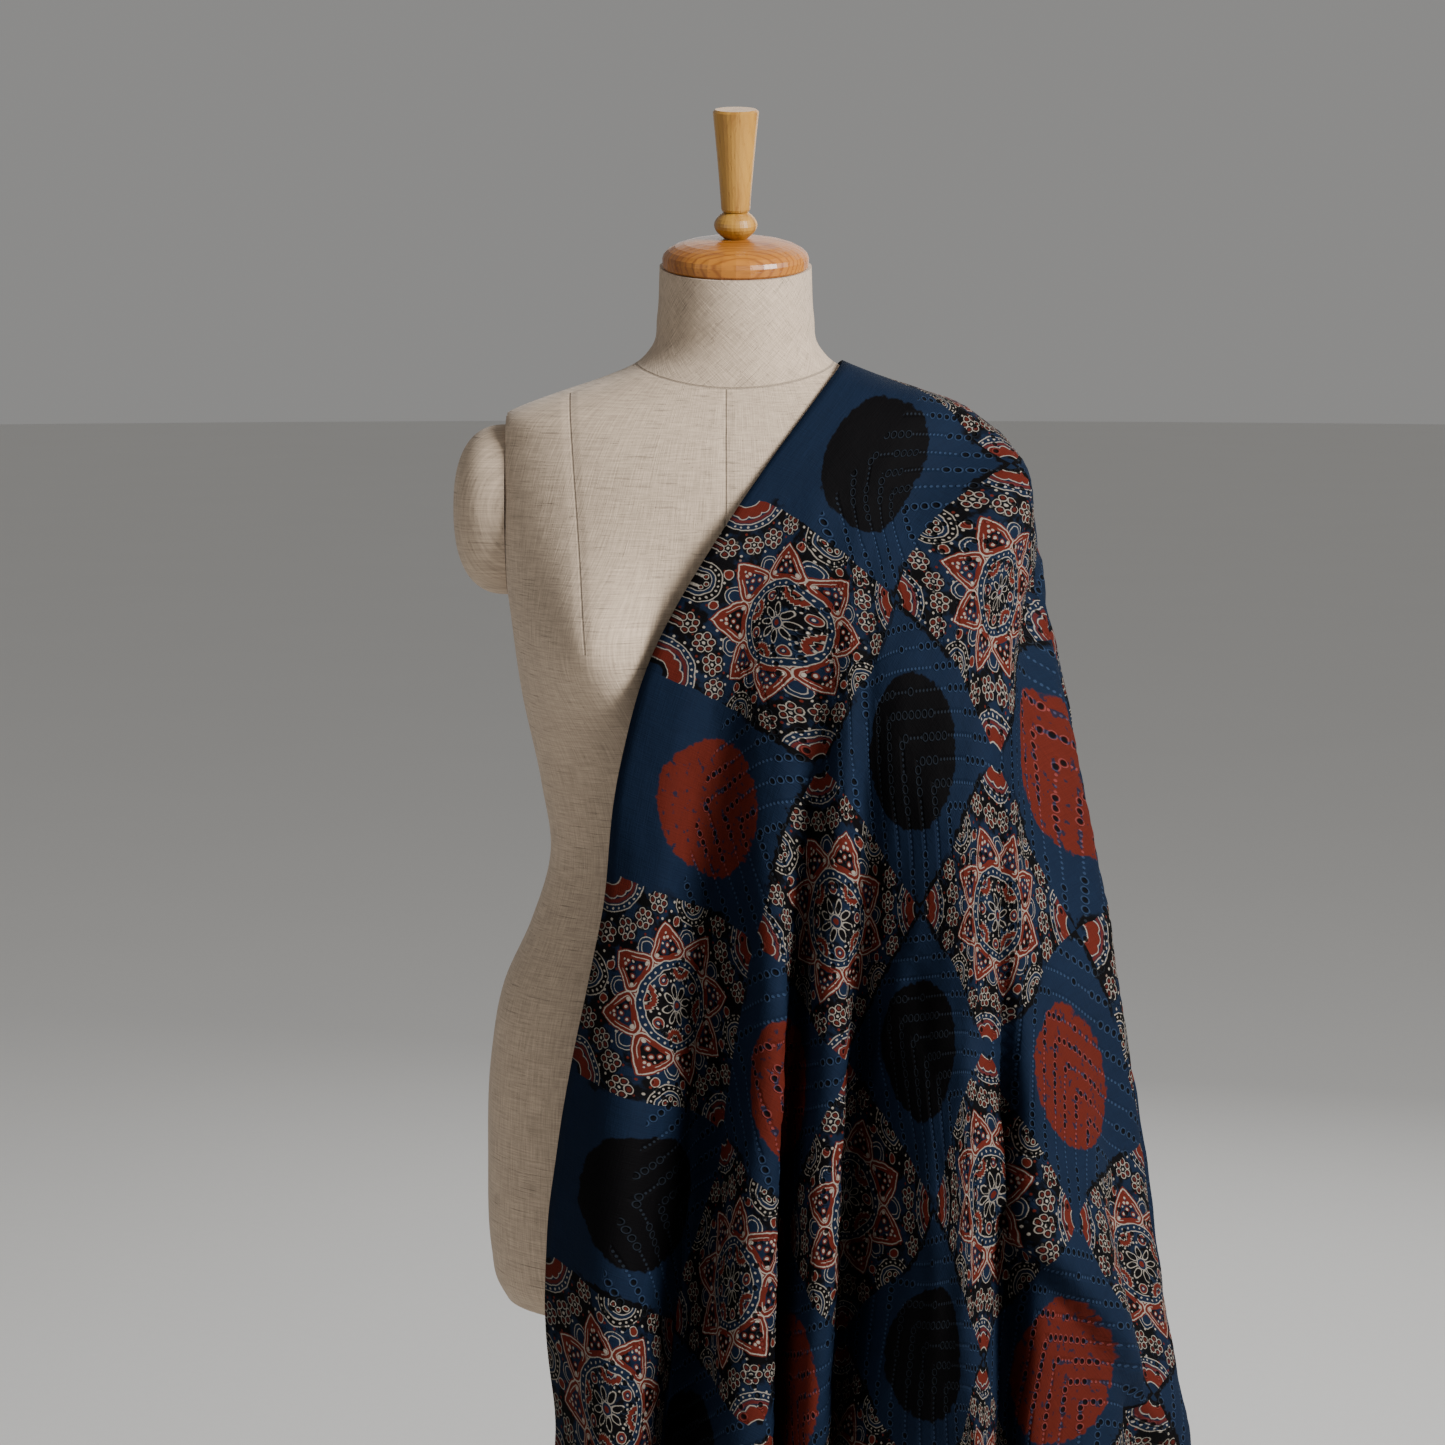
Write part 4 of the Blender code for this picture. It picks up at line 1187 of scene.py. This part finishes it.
def grid_faces(columns, rows, closed):
    """Corner numbers of the faces of a grid, closed round its columns or open."""
    last = columns if closed else columns - 1
    column, row = np.meshgrid(np.arange(last), np.arange(rows - 1), indexing="ij")
    ahead = (column + 1) % columns
    corners = (
        column * rows + row,
        ahead * rows + row,
        ahead * rows + row + 1,
        column * rows + row + 1,
    )
    return np.stack(corners, axis=-1).reshape(-1, 4)


def new_piece(name, points, faces, material, texture=None):
    """Smooth mesh object from points and faces, with its UV map where it has one."""
    mesh = bpy.data.meshes.new(name)
    mesh.from_pydata(points.reshape(-1, 3), [], faces.tolist())
    if texture is not None:
        layer = mesh.uv_layers.new(name="flat")
        corner = np.empty(len(mesh.loops), dtype=np.int32)
        mesh.loops.foreach_get("vertex_index", corner)
        layer.data.foreach_set("uv", texture.reshape(-1, 2)[corner].astype(np.float32).ravel())
    mesh.shade_smooth()
    mesh.materials.append(material)
    made = bpy.data.objects.new(name, mesh)
    bpy.context.scene.collection.objects.link(made)
    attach(made, BODY)
    return made


def close_ends(made, ends):
    """Fills the open ends of a ringed piece and turns all faces outwards."""
    data = bmesh.new()
    data.from_mesh(made.data)
    data.verts.ensure_lookup_table()
    for ring in ends:
        data.faces.new([data.verts[number] for number in ring])
    bmesh.ops.recalc_face_normals(data, faces=data.faces[:])
    data.to_mesh(made.data)
    data.free()
    made.data.set_sharp_from_angle(angle=SMOOTH_ANGLE)


def print_places(along, across):
    """Places in the print for the flat places of the sheet.

    The slide grows from the selvedge to its full amount and fades down the front. The spread
    is a round hill over the chest. The nudges are blended by bells of their distance.
    """
    slide = SLIDE * (1 - np.exp(-across / SLIDE_REACH))
    slide = slide * np.exp(-np.maximum(along, 0) / (SLIDE_FADE * np.maximum(across, 0.2)))
    hill = (along - SPREAD_PLACE[0]) ** 2 / SPREAD_SIZE[0] ** 2
    hill = hill + (across - SPREAD_PLACE[1]) ** 2 / SPREAD_SIZE[1] ** 2
    total, shift_along, shift_across = NUDGE_FLOOR, 0.0, 0.0
    for place_along, place_across, nudge_along, nudge_across in NUDGES:
        far = (along - place_along) ** 2 + (across - place_across) ** 2
        weight = np.exp(-far / NUDGE_REACH**2)
        total = total + weight
        shift_along = shift_along + weight * nudge_along
        shift_across = shift_across + weight * nudge_across
    return (along - slide + shift_along / total,
            across - SPREAD * np.exp(-hill) + shift_across / total)


def make_cloth(sizes):
    """The draped sheet, with its thickness on both sides of its middle surface."""
    points, along, across = draped_sheet(sizes)
    print_along, print_across = print_places(along, across)
    texture = np.stack((print_across / UV_SPAN, print_along / UV_SPAN + 0.5), axis=-1)
    faces = grid_faces(*along.shape, False)
    cloth = new_piece("printed_cloth", points, faces, cloth_material(sizes),
                      texture)
    thick = cloth.modifiers.new("thickness", "SOLIDIFY")
    thick.thickness = sizes.thickness
    thick.offset = 0
    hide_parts("cloth")


def torso_surface(levels, sides):
    """Points of the torso: a rounded section at each level, pushed out at the bust.

    x and y follow cosine and sine raised to 2 over the squareness. The neck's levels lean
    forward, and the sides are cut flat at the armholes.
    """
    heights = np.linspace(TORSO_SECTIONS[0][0], NECK_TOP, 10 * levels)
    outline = torso_section(heights)[0]
    run = travelled(np.column_stack((heights, outline)))
    heights = np.interp(np.linspace(0, run[-1], levels), run, heights)
    turn = 2 * math.pi * np.arange(sides) / sides
    half, front, back, squareness = (value[None, :] for value in torso_section(heights))
    power = 2 / squareness
    cosine, sine = np.cos(turn)[:, None], np.sin(turn)[:, None]
    x = half * np.sign(cosine) * np.abs(cosine) ** power
    y = np.sign(sine) * np.abs(sine) ** power
    y = np.where(y < 0, y * front, y * back)
    y = y - bust_rise(x, heights[None, :]) * np.sin(np.clip(-y / front, 0, 1) * math.pi / 2)
    lean = np.clip((heights - NECK_LEAN_START) / (NECK_TOP - NECK_LEAN_START), 0, 1)[None, :]
    z = heights[None, :] + math.tan(NECK_LEAN) * (y - NECK_MIDDLE_Y) * lean
    flat = np.clip(x, -ARMHOLE_X, ARMHOLE_X)
    x = np.where(heights[None, :] > ARMHOLE_BOTTOM, flat, x)
    return np.stack((x, y, z), axis=-1)


def make_torso(sizes, material):
    """Linen torso and neck in one closed piece."""
    points = torso_surface(sizes.levels, sizes.sides)
    columns, rows = points.shape[:2]
    faces = grid_faces(columns, rows, True)
    torso = new_piece("linen_torso", points, faces, material)
    start = np.arange(columns) * rows
    close_ends(torso, (start[::-1].tolist(), (start + rows - 1).tolist()))
    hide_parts("torso_form")


def make_arm(name, side, node, material):
    """Half dome on the armhole: its height, depth and reach shrink as powers of a turn."""
    sides, rings = ARM_SIDES, ARM_RINGS
    turn = (2 * math.pi * np.arange(sides) / sides)[:, None]
    angle = (math.pi / 2 * np.linspace(0, ARM_TIP, rings))[None, :]
    shrink = np.cos(angle) ** (2 / ARM_ROUNDNESS)
    out = ARM_REACH * np.sin(angle) ** (2 / ARM_ROUNDNESS)
    x = np.broadcast_to(side * (ARMHOLE_X + SEAT_GAP + out), (sides, rings))
    y = ARM_HALF_DEPTH * shrink * np.cos(turn)
    z = ARM_HEIGHT + ARM_HALF_HEIGHT * shrink * np.sin(turn)
    points = np.stack((x, y, z), axis=-1)
    arm = new_piece(name, points, grid_faces(sides, rings, True), material)
    start = np.arange(sides) * rings
    close_ends(arm, (start.tolist(), (start + rings - 1).tolist()))
    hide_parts(node)


def finish_node(name, material):
    """Puts a material in every slot of a CAD node and shades its facets as one round."""
    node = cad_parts[name]
    for slot in node.material_slots:
        slot.material = material
    node.data.polygons.foreach_set("use_smooth", [True] * len(node.data.polygons))
    node.data.set_sharp_from_angle(angle=SMOOTH_ANGLE)


class FORM_OT_cover(bpy.types.Operator):
    """Builds the linen torso and its two arm caps"""

    bl_idname = "form.cover"
    bl_label = "Cover the form"

    def execute(self, context):
        sizes = context.scene.form_sizes
        linen = linen_material(tuple(sizes.linen))
        make_torso(sizes, linen)
        make_arm("linen_arm_right", -1, "arm_cap_right", linen)
        make_arm("linen_arm_left", 1, "arm_cap_left", linen)
        return {"FINISHED"}


class WOOD_OT_varnish(bpy.types.Operator):
    """Gives the cap, the collar and the handle their wood"""

    bl_idname = "wood.varnish"
    bl_label = "Varnish the wood"

    def execute(self, context):
        sizes = context.scene.form_sizes
        cap = wood_material("cap_wood", tuple(sizes.cap_wood), False, CAP_ROUGHNESS)
        handle = wood_material("handle_wood", tuple(sizes.handle_wood), True, HANDLE_ROUGHNESS)
        finish_node("neck_cap", cap)
        finish_node("cap_knob", handle)
        finish_node("cap_handle", handle)
        return {"FINISHED"}


class STAND_OT_paint(bpy.types.Operator):
    """Gives the pole and the base their paint"""

    bl_idname = "stand.paint"
    bl_label = "Paint the stand"

    def execute(self, context):
        paint = paint_material(tuple(context.scene.stage_sizes.stand))
        finish_node("stand_pole", paint)
        finish_node("stand_base", paint)
        return {"FINISHED"}


class CLOTH_OT_drape(bpy.types.Operator):
    """Builds the printed cloth over the shoulder"""

    bl_idname = "cloth.drape"
    bl_label = "Drape the cloth"

    def execute(self, context):
        make_cloth(context.scene.cloth_sizes)
        return {"FINISHED"}


class STAGE_OT_set(bpy.types.Operator):
    """Sets the floor, the light and the photograph's camera"""

    bl_idname = "stage.set"
    bl_label = "Set the stage"

    def execute(self, context):
        sizes = context.scene.stage_sizes
        turn = 2 * math.pi * np.arange(FLOOR_SIDES) / FLOOR_SIDES
        points = np.stack((np.cos(turn), np.sin(turn), 0 * turn), axis=-1) * sizes.floor_radius
        mesh = bpy.data.meshes.new("studio_floor")
        mesh.from_pydata(points, [], [list(range(FLOOR_SIDES))])
        mesh.materials.append(floor_material(tuple(sizes.floor_tone)))
        floor = bpy.data.objects.new("studio_floor", mesh)
        context.scene.collection.objects.link(floor)
        world = bpy.data.worlds.new("studio_room")
        world.use_nodes = True
        glow = world.node_tree.nodes["Background"].inputs
        glow["Color"].default_value = ROOM_COLOUR
        glow["Strength"].default_value = sizes.sky
        context.scene.world = world
        for name, size, place in LIGHTS:
            power = getattr(sizes, name + "_power")
            self.add_light(context, name + "_light", power, size, place)
        camera_data = bpy.data.cameras.new("photo_camera")
        camera_data.sensor_width = SENSOR
        camera_data.lens = FOCAL_PIXELS / IMAGE_SIDE * SENSOR
        camera = bpy.data.objects.new("photo_camera", camera_data)
        camera.location = CAMERA_PLACE
        camera.rotation_euler = (math.pi / 2 - CAMERA_DIP, 0, 0)
        context.scene.collection.objects.link(camera)
        context.scene.camera = camera
        return {"FINISHED"}

    def add_light(self, context, name, power, size, place):
        """Square soft light aimed at the chest."""
        data = bpy.data.lights.new(name, "AREA")
        data.energy = power
        data.size = size
        light = bpy.data.objects.new(name, data)
        light.location = place
        aim = Vector(LIGHT_AIM) - Vector(place)
        light.rotation_euler = aim.to_track_quat("-Z", "Y").to_euler()
        context.scene.collection.objects.link(light)


class CLOTH_PT_panel(bpy.types.Panel):
    """Lists the steps and their sizes"""

    bl_label = "Cloth on a form"
    bl_space_type = "VIEW_3D"
    bl_region_type = "UI"
    bl_category = "Cloth"

    def draw(self, context):
        layout = self.layout
        for operator in (FORM_OT_cover, WOOD_OT_varnish, STAND_OT_paint, CLOTH_OT_drape,
                         STAGE_OT_set):
            layout.operator(operator.bl_idname)
        for name in ("cloth_sizes", "form_sizes", "stage_sizes"):
            group = getattr(context.scene, name)
            for key in group.__annotations__:
                layout.prop(group, key)


CLASSES = (
    ClothSizes,
    FormSizes,
    StageSizes,
    FORM_OT_cover,
    WOOD_OT_varnish,
    STAND_OT_paint,
    CLOTH_OT_drape,
    STAGE_OT_set,
    CLOTH_PT_panel,
)


def register():
    """Adds the classes and their settings."""
    for item in CLASSES:
        bpy.utils.register_class(item)
    bpy.types.Scene.cloth_sizes = PointerProperty(type=ClothSizes)
    bpy.types.Scene.form_sizes = PointerProperty(type=FormSizes)
    bpy.types.Scene.stage_sizes = PointerProperty(type=StageSizes)


def unregister():
    """Takes the settings and the classes away again."""
    del bpy.types.Scene.cloth_sizes
    del bpy.types.Scene.form_sizes
    del bpy.types.Scene.stage_sizes
    for item in reversed(CLASSES):
        bpy.utils.unregister_class(item)


def main():
    """Builds every piece and the stage."""
    register()
    bpy.ops.form.cover()
    bpy.ops.wood.varnish()
    bpy.ops.stand.paint()
    bpy.ops.cloth.drape()
    bpy.ops.stage.set()


if __name__ == "__main__":
    main()
